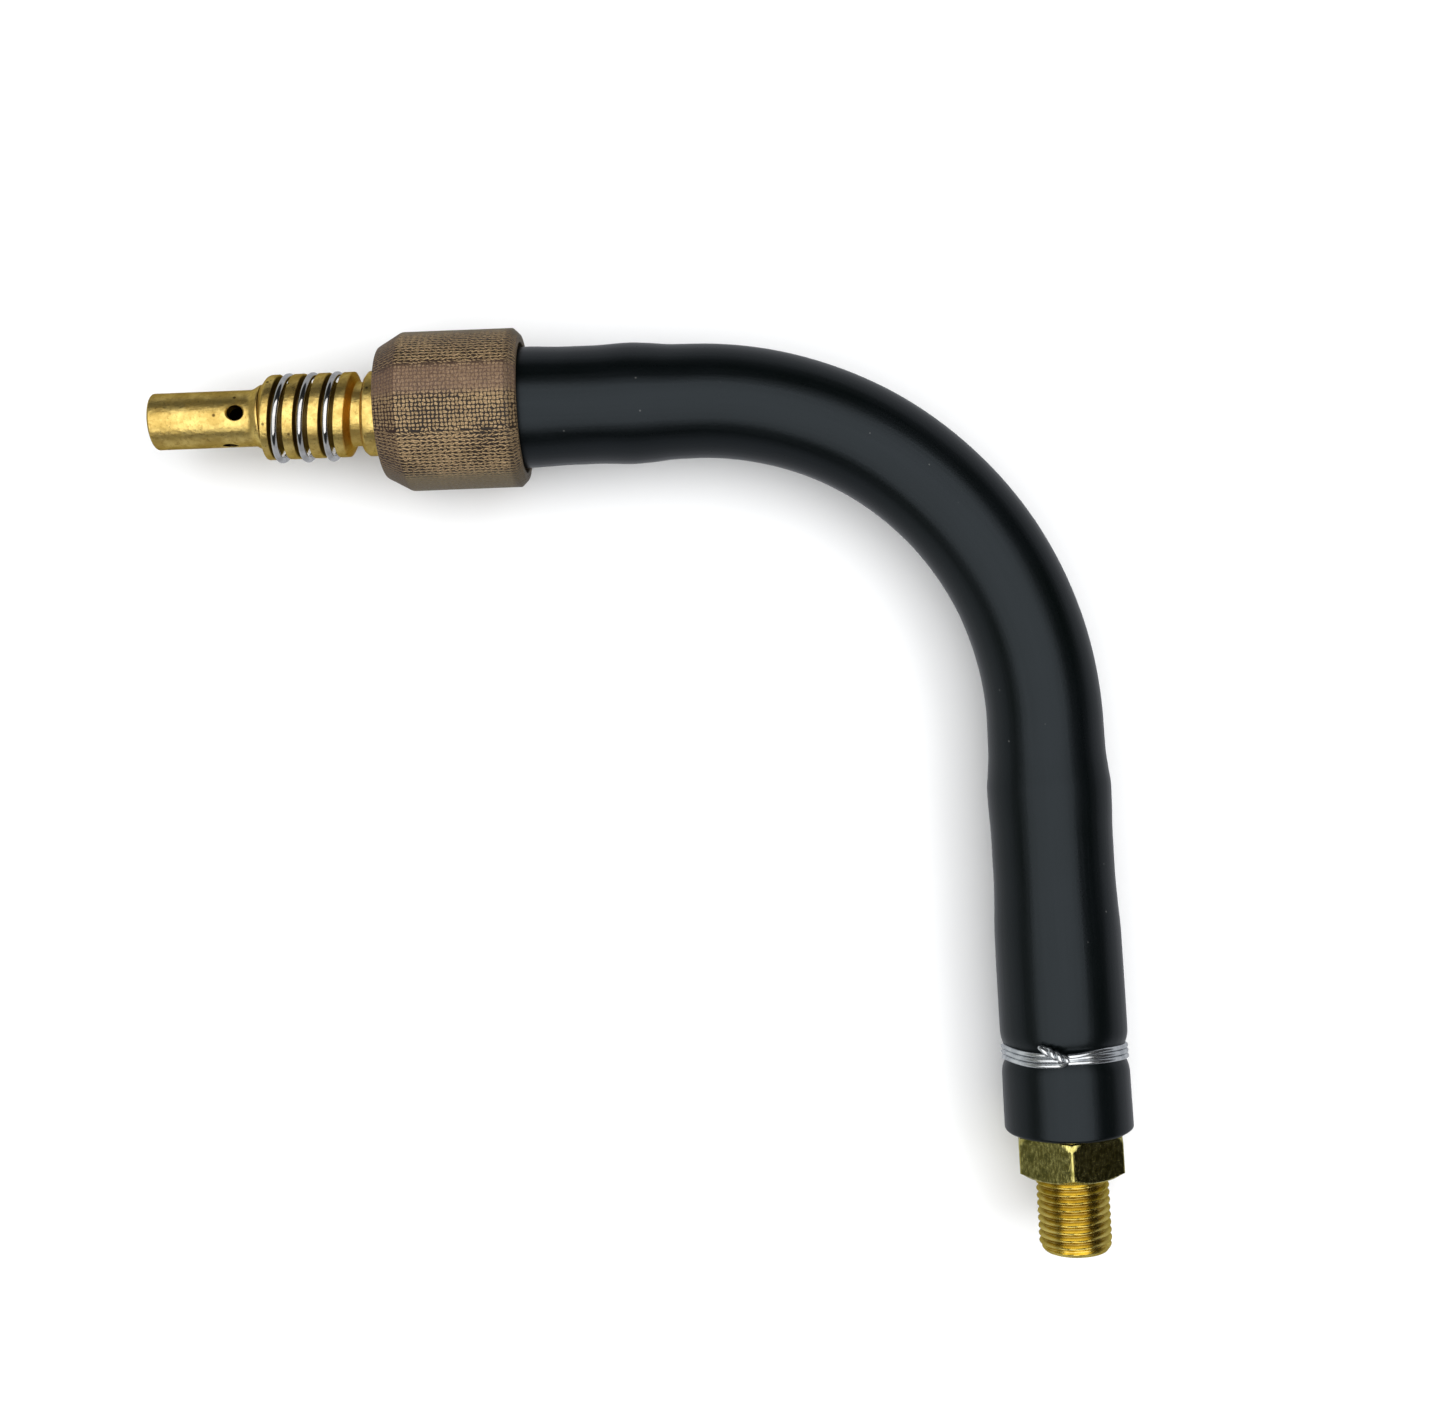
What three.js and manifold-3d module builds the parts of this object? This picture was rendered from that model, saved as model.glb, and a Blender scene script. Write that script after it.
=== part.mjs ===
// The neck of a gas-cooled MIG welding torch: a tip holder with gas holes, a brass head with three
// spring rings that grip the nozzle, an insulating cap, a bent conductor tube in a rubber jacket, and
// a threaded rear connector. Lengths are in millimetres and Z is up.
//
// The front leg runs along -X and the rear leg close to -Y, from the corner where their axes cross.
// A station on either leg is its distance from that corner: FRONT stations grow towards the tip,
// REAR stations towards the connector.
import * as THREE from "three";
import { mergeVertices } from "three/addons/utils/BufferGeometryUtils.js";
import Module from "manifold-3d";

const wasm = await Module();
wasm.setup();

// ---- driving dimensions ----
const degrees = THREE.MathUtils.degToRad;
const CLEARANCE = 0.3; // between neighbouring pieces

const LEAN = degrees(1.2); // the rear leg leans this much off square
const BEND_RADIUS = 61;
const BEND_ANGLE = Math.PI / 2 - LEAN;
const TANGENT = BEND_RADIUS * Math.tan(BEND_ANGLE / 2); // station where each leg meets the bend
const BEND_LENGTH = BEND_RADIUS * BEND_ANGLE;
const BEND_STEPS = 12;

const FRONT = {
  tip: 155.85,
  gasHoles: 140.25,
  levelGasHoles: 142.4,
  collar: 117.2, // front edge of the collar the cap slides on
  neckFront: 119.7,
  headFace: 135.95,
  capFace: 114.7,
  capRear: 89.7,
  jacketEnd: 106,
  headRear: 96,
  ferruleFront: 95.7,
  ferruleRear: 66.9,
  liner: 137,
};
const REAR = {
  ferruleFront: 69.3,
  ferruleRear: 94.9,
  shank: 95.3,
  tie: 119.1,
  jacketEnd: 132.75,
  hex: 133.05,
  hexFace: 140.3,
  liner: 146.5,
  nose: 154.12,
};

const BARREL_RADIUS = 5;
const TIP_SOCKET_RADIUS = 3;
const TIP_SOCKET_DEPTH = 12;
const TIP_FLANGE_RADIUS = 5.85;
const GAS_HOLE_RADIUS = 1.4;
const TIP_TURN = degrees(2.8);
const SPIGOT_RADIUS = 3.9;
const SPIGOT_LENGTH = 8;
const GAS_WAY_RADIUS = 2.8;

const LAND_RADIUS = 7.5;
const GROOVE_RADIUS = 5.7;
const GROOVE_WIDTH = 2.6;
const RING_PITCH = 4.45;
const FIRST_GROOVE = 132.45; // station of the first groove's middle
const NECK_RADIUS = 5.65;
const FLANGE_RADIUS = 8.3;

const RING_WIRE_RADIUS = 0.6;
const RING_RADIUS = 7.4; // to the middle of the wire
const RING_GAP = degrees(24);
const RING_DROP = 0.25; // the loose rings hang off centre by this much
const GROOVE_TILT = degrees(7.4); // the grooves and lands lean like the turns of a thread
const RINGS = [
  { name: "spring_ring_1", shift: -0.05, tilt: degrees(9.8) },
  { name: "spring_ring_2", shift: -0.05, tilt: degrees(8.4) },
  { name: "spring_ring_3", shift: -0.05, tilt: degrees(7.6) },
];
const WASHER_RECESS = { radius: 5.5, depth: 1.15 };
const HEAD_GAS_WAY_RADIUS = 3.4;

const CAP_RADIUS = 14;
const CAP_BORE_RADIUS = 8.6;
const CAP_REAR_BORE_RADIUS = 11.5;
const CAP_FRONT_CHAMFER = [2.43, 4.33]; // radial, axial
const CAP_REAR_CHAMFER = 1.15;
const CAP_WEB = 7; // thickness of the web round the collar
const O_RING_STATION = 112.3;
const O_RING_RADIUS = 7.6;
const O_RING_SECTION = 0.7;

const TUBE_RADIUS = 6.35;
const TUBE_BORE_RADIUS = 4.75;
const SOCKET_RADIUS = TUBE_RADIUS + CLEARANCE;
const SOCKET_FRONT = 108.6; // floor of the tube's socket in the head
const SOCKET_REAR = 118.6; // floor of its socket in the connector
const SLEEVE_RADIUS = 7.3;
const LINER_RADIUS = 2.2;
const LINER_BORE_RADIUS = 1.2;
const FERRULE_RADIUS = 7.75;
const FERRULE_BEAD_RADIUS = 8;
const REAR_FERRULE_RADIUS = 8.1;

const SHANK_RADIUS = 7.9;
const BARB_RADIUS = 8.45;
const BARB_LENGTH = 6;
const BARBS = 3;
const CONNECTOR_BORE_RADIUS = 4.2;
const HEX_ACROSS_FLATS = 18.1;
const HEX_TURN = degrees(10);
const THREAD_RADIUS = 6.58; // G 1/4 pipe thread: 13.16 mm outside, 19 threads to the inch
const THREAD_PITCH = 1.337;
const THREAD_DEPTH = 0.82;
const THREAD_COLLAR = { radius: 6.7, height: 0.25 }; // a plain step where the thread meets the hexagon
const NOSE_RADIUS = 5.7;

const WAIST_RADIUS = 9.85; // the jacket under the tie wire
const WAIST_REACH = 3.6;
const TIE_WIRE_RADIUS = 0.5;
const TIE_TAIL_RADIUS = 0.85; // of the two ends twisted together
const TIE_RADIUS = 10.77;
const TIE_TURNS = 3;
const TIE_PITCH = 1.08;
const TIE_TILT = degrees(6.9);
const KNOT_ANGLE = degrees(10); // round from the top, towards the inside of the bend
const KNOT_LENGTH = 5;
const KNOT_RADIUS = 12.5;

// ---- materials ----
const metal = (color, roughness) =>
  new THREE.MeshStandardMaterial({ color, roughness, metalness: 1 });
const plain = (color, roughness) =>
  new THREE.MeshStandardMaterial({ color, roughness, metalness: 0 });
const MATERIALS = {
  brass: metal(0xb8963f, 0.38),
  polishedBrass: metal(0x9c8438, 0.18),
  copper: metal(0xb46a45, 0.35),
  springSteel: metal(0xb9b9b6, 0.2),
  galvanised: metal(0xb4bcc0, 0.35),
  phenolic: plain(0x6e5440, 0.75),
  rubber: plain(0x17181b, 0.5),
  glassFibre: plain(0xd8cfb4, 0.9),
  nitrile: plain(0x1c1a19, 0.6),
};

// ---- helpers ----
// A closed mesh as a manifold-3d solid, and back.
function solid(geometry) {
  const bare = geometry.clone();
  bare.deleteAttribute("normal");
  bare.deleteAttribute("uv");
  const merged = mergeVertices(bare, 1e-4);
  const mesh = new wasm.Mesh({
    numProp: 3,
    vertProperties: merged.attributes.position.array,
    triVerts: new Uint32Array(merged.index.array),
  });
  return new wasm.Manifold(mesh);
}

function geometryOf(manifold) {
  const mesh = manifold.getMesh();
  const geometry = new THREE.BufferGeometry();
  geometry.setAttribute("position", new THREE.BufferAttribute(mesh.vertProperties, 3));
  geometry.setIndex(new THREE.BufferAttribute(mesh.triVerts, 1));
  return geometry;
}

// A solid of revolution about Y from a closed outline of [radius, height] points: the outer side
// upwards, then the bore downwards.
function turned(outline, segments) {
  const points = [...outline, outline[0]].map(([r, y]) => new THREE.Vector2(r, y));
  return new THREE.LatheGeometry(points, segments);
}

const ring = (bore, radius, bottom, top, segments) =>
  turned([[bore, bottom], [radius, bottom], [radius, top], [bore, top]], segments);

// A round wire along a curve, with flat ends.
function wire(curve, radius, steps, sides) {
  const section = new THREE.Shape();
  section.setFromPoints(
    Array.from({ length: sides }, (_, i) => {
      const angle = (2 * Math.PI * i) / sides;
      return new THREE.Vector2(radius * Math.cos(angle), radius * Math.sin(angle));
    }),
  );
  return new THREE.ExtrudeGeometry(section, { steps, extrudePath: curve, bevelEnabled: false });
}

function part(name, geometry, material) {
  const mesh = new THREE.Mesh(geometry, material);
  mesh.name = name;
  return mesh;
}

// ---- the bent centreline ----
// Its coordinate is the length behind the front end of the bend, and negative on the front leg.
const onFront = (station) => TANGENT - station;
const onRear = (station) => BEND_LENGTH + station - TANGENT;

function centreline(length) {
  const turn = THREE.MathUtils.clamp(length / BEND_RADIUS, 0, BEND_ANGLE);
  const along = new THREE.Vector3(Math.cos(turn), -Math.sin(turn), 0);
  const inward = new THREE.Vector3(-Math.sin(turn), -Math.cos(turn), 0);
  const point = new THREE.Vector3(-TANGENT, -BEND_RADIUS, 0)
    .addScaledVector(inward, -BEND_RADIUS)
    .addScaledVector(along, length - turn * BEND_RADIUS);
  return { point, along, inward };
}

// Carries a turned piece from the Y axis to the centreline.
function bent(geometry) {
  const position = geometry.attributes.position;
  const from = new THREE.Vector3();
  for (let i = 0; i < position.count; i++) {
    from.fromBufferAttribute(position, i);
    const { point, inward } = centreline(from.y);
    point.addScaledVector(inward, from.x);
    position.setXYZ(i, point.x, point.y, point.z + from.z);
  }
  return geometry;
}

// Outline points through the bend, at a radius given for each fraction of the way round.
function roundTheBend(radiusAt) {
  return Array.from({ length: BEND_STEPS + 1 }, (_, i) => {
    const fraction = i / BEND_STEPS;
    return [radiusAt(fraction), fraction * BEND_LENGTH];
  });
}

// A tube round the centreline between two outlines, each a list of [radius, length] points.
const bentTube = (outer, inner, segments) =>
  bent(turned([...outer, ...inner.toReversed()], segments));

function plainBentTube(bore, radius, start, end, segments) {
  const side = (r) => [[r, start], ...roundTheBend(() => r), [r, end]];
  return bentTube(side(radius), side(bore), segments);
}

// ---- the front leg ----
function tipHolder() {
  const flangeRear = FRONT.headFace + CLEARANCE / 2;
  const body = turned(
    [
      [SPIGOT_RADIUS - 0.4, flangeRear - SPIGOT_LENGTH],
      [SPIGOT_RADIUS, flangeRear - SPIGOT_LENGTH + 0.4],
      [SPIGOT_RADIUS, flangeRear],
      [TIP_FLANGE_RADIUS, flangeRear],
      [TIP_FLANGE_RADIUS, flangeRear + 0.3],
      [BARREL_RADIUS + 0.15, flangeRear + 1.5],
      [BARREL_RADIUS, flangeRear + 2],
      [BARREL_RADIUS, FRONT.tip - 0.3],
      [BARREL_RADIUS - 0.3, FRONT.tip],
      [TIP_SOCKET_RADIUS + 0.3, FRONT.tip],
      [TIP_SOCKET_RADIUS, FRONT.tip - 0.3],
      [TIP_SOCKET_RADIUS, FRONT.tip - TIP_SOCKET_DEPTH],
      [GAS_WAY_RADIUS, FRONT.tip - TIP_SOCKET_DEPTH],
      [GAS_WAY_RADIUS, flangeRear - SPIGOT_LENGTH],
    ],
    24,
  );
  const drill = () =>
    new THREE.CylinderGeometry(GAS_HOLE_RADIUS, GAS_HOLE_RADIUS, 3 * BARREL_RADIUS, 12);
  const upright = drill().rotateX(Math.PI / 2).translate(0, FRONT.gasHoles, 0);
  const level = drill().rotateZ(Math.PI / 2).translate(0, FRONT.levelGasHoles, 0);
  return geometryOf(solid(body).subtract(solid(upright)).subtract(solid(level)));
}

function headBody() {
  const outline = [
    [SOCKET_RADIUS, FRONT.headRear],
    [FERRULE_RADIUS, FRONT.headRear],
    [FERRULE_RADIUS, FRONT.jacketEnd + CLEARANCE],
    [FLANGE_RADIUS, FRONT.jacketEnd + CLEARANCE],
    [FLANGE_RADIUS, FRONT.jacketEnd + 2],
    [LAND_RADIUS, FRONT.jacketEnd + 2],
    [LAND_RADIUS, O_RING_STATION - 1],
    [O_RING_RADIUS - O_RING_SECTION - 0.2, O_RING_STATION - 1],
    [O_RING_RADIUS - O_RING_SECTION - 0.2, O_RING_STATION + 1],
    [LAND_RADIUS, O_RING_STATION + 1],
    [LAND_RADIUS, FRONT.collar],
    [LAND_RADIUS - 0.6, FRONT.collar + 0.6],
    [NECK_RADIUS, FRONT.collar + 0.6],
    [NECK_RADIUS, FRONT.neckFront],
    [NECK_RADIUS + 0.6, FRONT.neckFront + 0.15],
    [LAND_RADIUS, FRONT.neckFront + 0.75],
  ];
  for (let i = RINGS.length - 1; i >= 0; i--) {
    const middle = FIRST_GROOVE - i * RING_PITCH;
    outline.push(
      [LAND_RADIUS, middle - GROOVE_WIDTH / 2],
      [GROOVE_RADIUS, middle - GROOVE_WIDTH / 2],
      [GROOVE_RADIUS, middle + GROOVE_WIDTH / 2],
      [LAND_RADIUS, middle + GROOVE_WIDTH / 2],
    );
  }
  const seat = FRONT.headFace - WASHER_RECESS.depth;
  const spigotEnd = FRONT.headFace - SPIGOT_LENGTH - 0.7;
  outline.push(
    [LAND_RADIUS, FRONT.headFace - 0.8],
    [TIP_FLANGE_RADIUS, FRONT.headFace],
    [WASHER_RECESS.radius, FRONT.headFace],
    [WASHER_RECESS.radius, seat],
    [SPIGOT_RADIUS + CLEARANCE, seat],
    [SPIGOT_RADIUS + CLEARANCE, spigotEnd],
    [HEAD_GAS_WAY_RADIUS, spigotEnd],
    [HEAD_GAS_WAY_RADIUS, SOCKET_FRONT],
    [SOCKET_RADIUS, SOCKET_FRONT],
  );
  return leaned(turned(outline, 28));
}

// How much of the grooves' lean the head has at a station: none at the cap or at the head's face.
function leanAt(station) {
  const fromCap = (station - FRONT.capFace) / (FRONT.neckFront - FRONT.capFace);
  const fromFace = (FRONT.headFace - station);
  return THREE.MathUtils.clamp(Math.min(fromCap, fromFace), 0, 1);
}

// Leans the outside of the head, and leaves its bore straight.
function leaned(geometry) {
  const position = geometry.attributes.position;
  for (let i = 0; i < position.count; i++) {
    const x = position.getX(i);
    const station = position.getY(i);
    if (Math.hypot(x, position.getZ(i)) > WASHER_RECESS.radius + 0.1) {
      position.setY(i, station - x * Math.tan(GROOVE_TILT) * leanAt(station));
    }
  }
  geometry.computeVertexNormals();
  return geometry;
}

// The arc of an open ring about Y, with its gap at the bottom.
class RingArc extends THREE.Curve {
  getPoint(fraction, target = new THREE.Vector3()) {
    const angle = RING_GAP / 2 + fraction * (2 * Math.PI - RING_GAP);
    return target.set(RING_RADIUS * Math.sin(angle), 0, -RING_RADIUS * Math.cos(angle));
  }
}

function insulatorCap() {
  const length = FRONT.capFace - FRONT.capRear;
  const [chamferIn, chamferBack] = CAP_FRONT_CHAMFER;
  return turned(
    [
      [CAP_RADIUS - CAP_REAR_CHAMFER, 0],
      [CAP_RADIUS, CAP_REAR_CHAMFER],
      [CAP_RADIUS, length - chamferBack],
      [CAP_RADIUS - chamferIn, length],
      [CAP_BORE_RADIUS, length],
      [CAP_BORE_RADIUS, length - CAP_WEB],
      [CAP_REAR_BORE_RADIUS, length - CAP_WEB],
      [CAP_REAR_BORE_RADIUS, 0],
    ],
    36,
  );
}

function torus(radius, section, sides, segments) {
  const outline = Array.from({ length: sides }, (_, i) => {
    const angle = (2 * Math.PI * i) / sides;
    return [radius + section * Math.cos(angle), section * Math.sin(angle)];
  });
  return turned(outline, segments);
}

const frontFerrule = () =>
  turned(
    [
      [FERRULE_BEAD_RADIUS - 0.5, FRONT.ferruleRear],
      [FERRULE_BEAD_RADIUS, FRONT.ferruleRear + 1],
      [FERRULE_BEAD_RADIUS, FRONT.ferruleRear + 5.5],
      [FERRULE_RADIUS, FRONT.ferruleRear + 7],
      [FERRULE_RADIUS, FRONT.ferruleFront],
      [SOCKET_RADIUS, FRONT.ferruleFront],
      [SOCKET_RADIUS, FRONT.ferruleRear],
    ],
    24,
  );

// ---- pieces that follow the bend ----
function rubberJacket() {
  const outer = [
    [10.4, onFront(FRONT.jacketEnd)],
    [10.7, onFront(FRONT.jacketEnd - 1)],
    [10.7, onFront(89)],
    [10.44, onFront(82)],
    [10.42, onFront(77)],
    [10.69, onFront(70.5)],
    [10.5, onFront(67)],
    [10.14, onFront(63)],
    ...roundTheBend((fraction) => 10.09 + 0.13 * fraction - 0.24 * Math.sin(Math.PI * fraction)),
    [10.3, onRear(65)],
    [10.6, onRear(68.5)],
    [10.9, onRear(71.5)],
    [10.85, onRear(75)],
    [10.68, onRear(80)],
    [10.68, onRear(87)],
    [10.85, onRear(92)],
    [11.13, onRear(98)],
    [11.2, onRear(114)],
    [WAIST_RADIUS, onRear(REAR.tie - WAIST_REACH)],
    [WAIST_RADIUS, onRear(REAR.tie + WAIST_REACH)],
    [11.28, onRear(124)],
    [11.35, onRear(REAR.jacketEnd - 0.7)],
    [10.75, onRear(REAR.jacketEnd)],
  ];
  const overBend = SLEEVE_RADIUS + CLEARANCE;
  const inner = [
    [FERRULE_RADIUS + CLEARANCE, onFront(FRONT.jacketEnd)],
    [FERRULE_RADIUS + CLEARANCE, onFront(FRONT.ferruleRear + 8)],
    [FERRULE_BEAD_RADIUS + CLEARANCE, onFront(FRONT.ferruleRear + 6.5)],
    [FERRULE_BEAD_RADIUS + CLEARANCE, onFront(FRONT.ferruleRear - 0.5)],
    [overBend, onFront(FRONT.ferruleRear - 2)],
    ...roundTheBend(() => overBend),
    [overBend, onRear(REAR.ferruleFront - 1.5)],
    [REAR_FERRULE_RADIUS + CLEARANCE, onRear(REAR.ferruleFront - 0.4)],
    [REAR_FERRULE_RADIUS + CLEARANCE, onRear(REAR.ferruleRear - 1.5)],
    [BARB_RADIUS + CLEARANCE, onRear(REAR.ferruleRear)],
    [BARB_RADIUS + CLEARANCE, onRear(114.5)],
    [8, onRear(REAR.tie - 2.6)],
    [8, onRear(REAR.tie + 2.6)],
    [BARB_RADIUS + CLEARANCE, onRear(REAR.tie + 4.2)],
    [BARB_RADIUS + CLEARANCE, onRear(REAR.jacketEnd)],
  ];
  return bentTube(outer, inner, 24);
}

// ---- the rear leg ----
// Waves a cylinder's side into a right-hand thread.
function threaded(length) {
  const steps = Math.round((4 * length) / THREAD_PITCH);
  const outline = [[0, 0]];
  for (let i = 0; i <= steps; i++) outline.push([THREAD_RADIUS, (i * length) / steps]);
  outline.push([0, length]);
  const points = outline.map(([r, y]) => new THREE.Vector2(r, y));
  const geometry = new THREE.LatheGeometry(points, 20);
  const position = geometry.attributes.position;
  for (let i = 0; i < position.count; i++) {
    const [x, y, z] = [position.getX(i), position.getY(i), position.getZ(i)];
    const phase = (2 * Math.PI * y) / THREAD_PITCH - Math.atan2(x, z);
    const scale = 1 - ((THREAD_DEPTH / THREAD_RADIUS) * (1 - Math.cos(phase))) / 2;
    position.setXYZ(i, x * scale, y, z * scale);
  }
  return geometry;
}

// A solid on the axis: its outline runs from the bottom's middle to the top's.
const spindle = (outline, segments) =>
  new THREE.LatheGeometry(outline.map(([r, y]) => new THREE.Vector2(r, y)), segments);

function rearConnector() {
  const shankOutline = [[0, REAR.shank]];
  for (let i = 0; i < BARBS; i++) {
    const start = REAR.shank + i * BARB_LENGTH;
    shankOutline.push([SHANK_RADIUS - 0.3, start], [BARB_RADIUS, start + BARB_LENGTH - 0.2]);
  }
  const barbsEnd = REAR.shank + BARBS * BARB_LENGTH;
  shankOutline.push(
    [SHANK_RADIUS - 0.3, barbsEnd],
    [SHANK_RADIUS - 0.3, REAR.tie + 5],
    [BARB_RADIUS, REAR.tie + 5.3],
    [BARB_RADIUS, REAR.hex + 1],
    [0, REAR.hex + 1],
  );
  const hexRadius = HEX_ACROSS_FLATS / Math.sqrt(3);
  const hexLength = REAR.hexFace - REAR.hex;
  const middle = (REAR.hexFace + REAR.hex) / 2;
  const prism = new THREE.CylinderGeometry(hexRadius, hexRadius, hexLength, 6)
    .rotateY(HEX_TURN)
    .translate(0, middle, 0);
  const faceRadius = HEX_ACROSS_FLATS / 2 - 0.05;
  const chamfer = (hexRadius - faceRadius) * Math.tan(Math.PI / 6) + 0.05;
  const chamfered = spindle(
    [
      [0, REAR.hex - 0.01],
      [faceRadius, REAR.hex - 0.01],
      [hexRadius + 0.05, REAR.hex + chamfer],
      [hexRadius + 0.05, REAR.hexFace - chamfer],
      [faceRadius, REAR.hexFace + 0.01],
      [0, REAR.hexFace + 0.01],
    ],
    36,
  );
  const threadStart = REAR.hexFace - 0.5;
  const thread = threaded(REAR.nose - threadStart).translate(0, threadStart, 0);
  const noseShape = spindle(
    [
      [0, threadStart - 1],
      [THREAD_RADIUS + 0.1, threadStart - 1],
      [THREAD_RADIUS + 0.1, REAR.nose - 1.2],
      [NOSE_RADIUS, REAR.nose],
      [0, REAR.nose],
    ],
    24,
  );
  const bore = spindle(
    [
      [0, REAR.shank - 1],
      [SOCKET_RADIUS, REAR.shank - 1],
      [SOCKET_RADIUS, SOCKET_REAR],
      [CONNECTOR_BORE_RADIUS, SOCKET_REAR],
      [CONNECTOR_BORE_RADIUS, REAR.nose + 1],
      [0, REAR.nose + 1],
    ],
    24,
  );
  const collar = spindle(
    [
      [0, threadStart],
      [THREAD_COLLAR.radius, threadStart],
      [THREAD_COLLAR.radius, REAR.hexFace + THREAD_COLLAR.height],
      [0, REAR.hexFace + THREAD_COLLAR.height],
    ],
    24,
  );
  const hex = solid(prism).intersect(solid(chamfered));
  const screw = solid(thread).intersect(solid(noseShape));
  const outside = solid(spindle(shankOutline, 24)).add(hex).add(screw).add(solid(collar));
  return geometryOf(outside.subtract(solid(bore)));
}

// The turns of the tie wire about Y, from the knot round the outside of the bend.
class TieCoil extends THREE.Curve {
  getPoint(fraction, target = new THREE.Vector3()) {
    const angle = KNOT_ANGLE - fraction * TIE_TURNS * 2 * Math.PI;
    const height = (fraction - 0.5) * TIE_TURNS * TIE_PITCH;
    return target.set(TIE_RADIUS * Math.sin(angle), height, TIE_RADIUS * Math.cos(angle));
  }
}

// The tie wire's two ends, twisted together into one tail that lies over the coil.
function tieTail() {
  const points = [
    [TIE_RADIUS + 0.3, 0, 0.5],
    [KNOT_RADIUS - 0.3, 0.08, 0.3],
    [KNOT_RADIUS, 0.35, -0.5],
    [KNOT_RADIUS, 1, -2],
  ].map(([radius, fraction, height]) => {
    const angle = KNOT_ANGLE + (fraction * KNOT_LENGTH) / KNOT_RADIUS;
    return new THREE.Vector3(radius * Math.sin(angle), height, radius * Math.cos(angle));
  });
  return new THREE.CatmullRomCurve3(points);
}

function bindingWire() {
  const turns = solid(wire(new TieCoil(), TIE_WIRE_RADIUS, 20 * TIE_TURNS, 6));
  return geometryOf(turns.add(solid(wire(tieTail(), TIE_TAIL_RADIUS, 8, 6))));
}

// ---- assembly ----
const frontLeg = new THREE.Group();
frontLeg.rotation.z = Math.PI / 2;

const tip = part("tip_holder", tipHolder(), MATERIALS.brass);
tip.rotation.y = TIP_TURN;
const washer = part("tip_washer", ring(4.2, 5.2, 0, 0.75, 16), MATERIALS.copper);
washer.position.y = FRONT.headFace - 0.9;
const cap = part("insulator_cap", insulatorCap(), MATERIALS.phenolic);
cap.position.y = FRONT.capRear;
const oRing = part("cap_o_ring", torus(O_RING_RADIUS, O_RING_SECTION, 6, 24), MATERIALS.nitrile);
oRing.position.y = O_RING_STATION;
const frontBraze = part("front_braze_ring", ring(5, 6.2, 0, 0.5, 16), MATERIALS.brass);
frontBraze.position.y = SOCKET_FRONT - 0.75;
frontLeg.add(tip, washer, cap, oRing, frontBraze);
frontLeg.add(part("head_body", headBody(), MATERIALS.brass));
frontLeg.add(part("front_ferrule", frontFerrule(), MATERIALS.brass));

RINGS.forEach(({ name, shift, tilt }, i) => {
  const springRing = part(name, wire(new RingArc(), RING_WIRE_RADIUS, 26, 6), MATERIALS.springSteel);
  springRing.position.set(-RING_DROP, FIRST_GROOVE - i * RING_PITCH + shift, 0);
  springRing.rotation.z = -tilt;
  frontLeg.add(springRing);
});

const rearLeg = new THREE.Group();
rearLeg.rotation.z = Math.PI + LEAN;

const rearFerrule = part(
  "rear_ferrule",
  ring(SOCKET_RADIUS, REAR_FERRULE_RADIUS, 0, REAR.ferruleRear - REAR.ferruleFront, 24),
  MATERIALS.brass,
);
rearFerrule.position.y = REAR.ferruleFront;
const rearBraze = part("rear_braze_ring", ring(5, 6.2, 0, 0.5, 16), MATERIALS.brass);
rearBraze.position.y = SOCKET_REAR - 0.75;
const nipple = part("liner_nipple", ring(2.5, 3.9, 0, 3.5, 16), MATERIALS.brass);
nipple.position.y = REAR.liner - 3;
const tie = part("binding_wire", bindingWire(), MATERIALS.galvanised);
tie.position.y = REAR.tie;
tie.rotation.x = TIE_TILT;
rearLeg.add(rearFerrule, rearBraze, nipple, tie);
rearLeg.add(part("rear_connector", rearConnector(), MATERIALS.polishedBrass));

const neck = new THREE.Group();
neck.add(frontLeg, rearLeg);
neck.add(part("rubber_jacket", rubberJacket(), MATERIALS.rubber));
neck.add(
  part(
    "conductor_tube",
    plainBentTube(
      TUBE_BORE_RADIUS,
      TUBE_RADIUS,
      onFront(SOCKET_FRONT - 1),
      onRear(SOCKET_REAR - 1),
      16,
    ),
    MATERIALS.copper,
  ),
  part(
    "insulating_sleeve",
    plainBentTube(
      SOCKET_RADIUS,
      SLEEVE_RADIUS,
      onFront(FRONT.ferruleRear - CLEARANCE),
      onRear(REAR.ferruleFront - CLEARANCE),
      16,
    ),
    MATERIALS.glassFibre,
  ),
  part(
    "wire_liner",
    plainBentTube(LINER_BORE_RADIUS, LINER_RADIUS, onFront(FRONT.liner), onRear(REAR.liner), 8),
    MATERIALS.springSteel,
  ),
);

// The part's origin is below the middle of its box, on the surface that it lies on.
const torch = new THREE.Group();
torch.add(neck);
torch.updateMatrixWorld(true);
const box = new THREE.Box3().setFromObject(neck, true);
const middle = box.getCenter(new THREE.Vector3());
neck.position.set(-middle.x, -middle.y, -box.min.z);

export default torch;
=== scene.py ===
# The looks of a MIG welding torch's bent neck: fine meshes and procedural materials, built on the
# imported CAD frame. Blender works in metres. Outlines are in millimetres, as on a drawing, and the
# matrix of each place scales them.
from math import cos, exp, hypot, pi, radians, sin, sqrt, tan
import bmesh
import bpy
from mathutils import Matrix, Vector, noise


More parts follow.
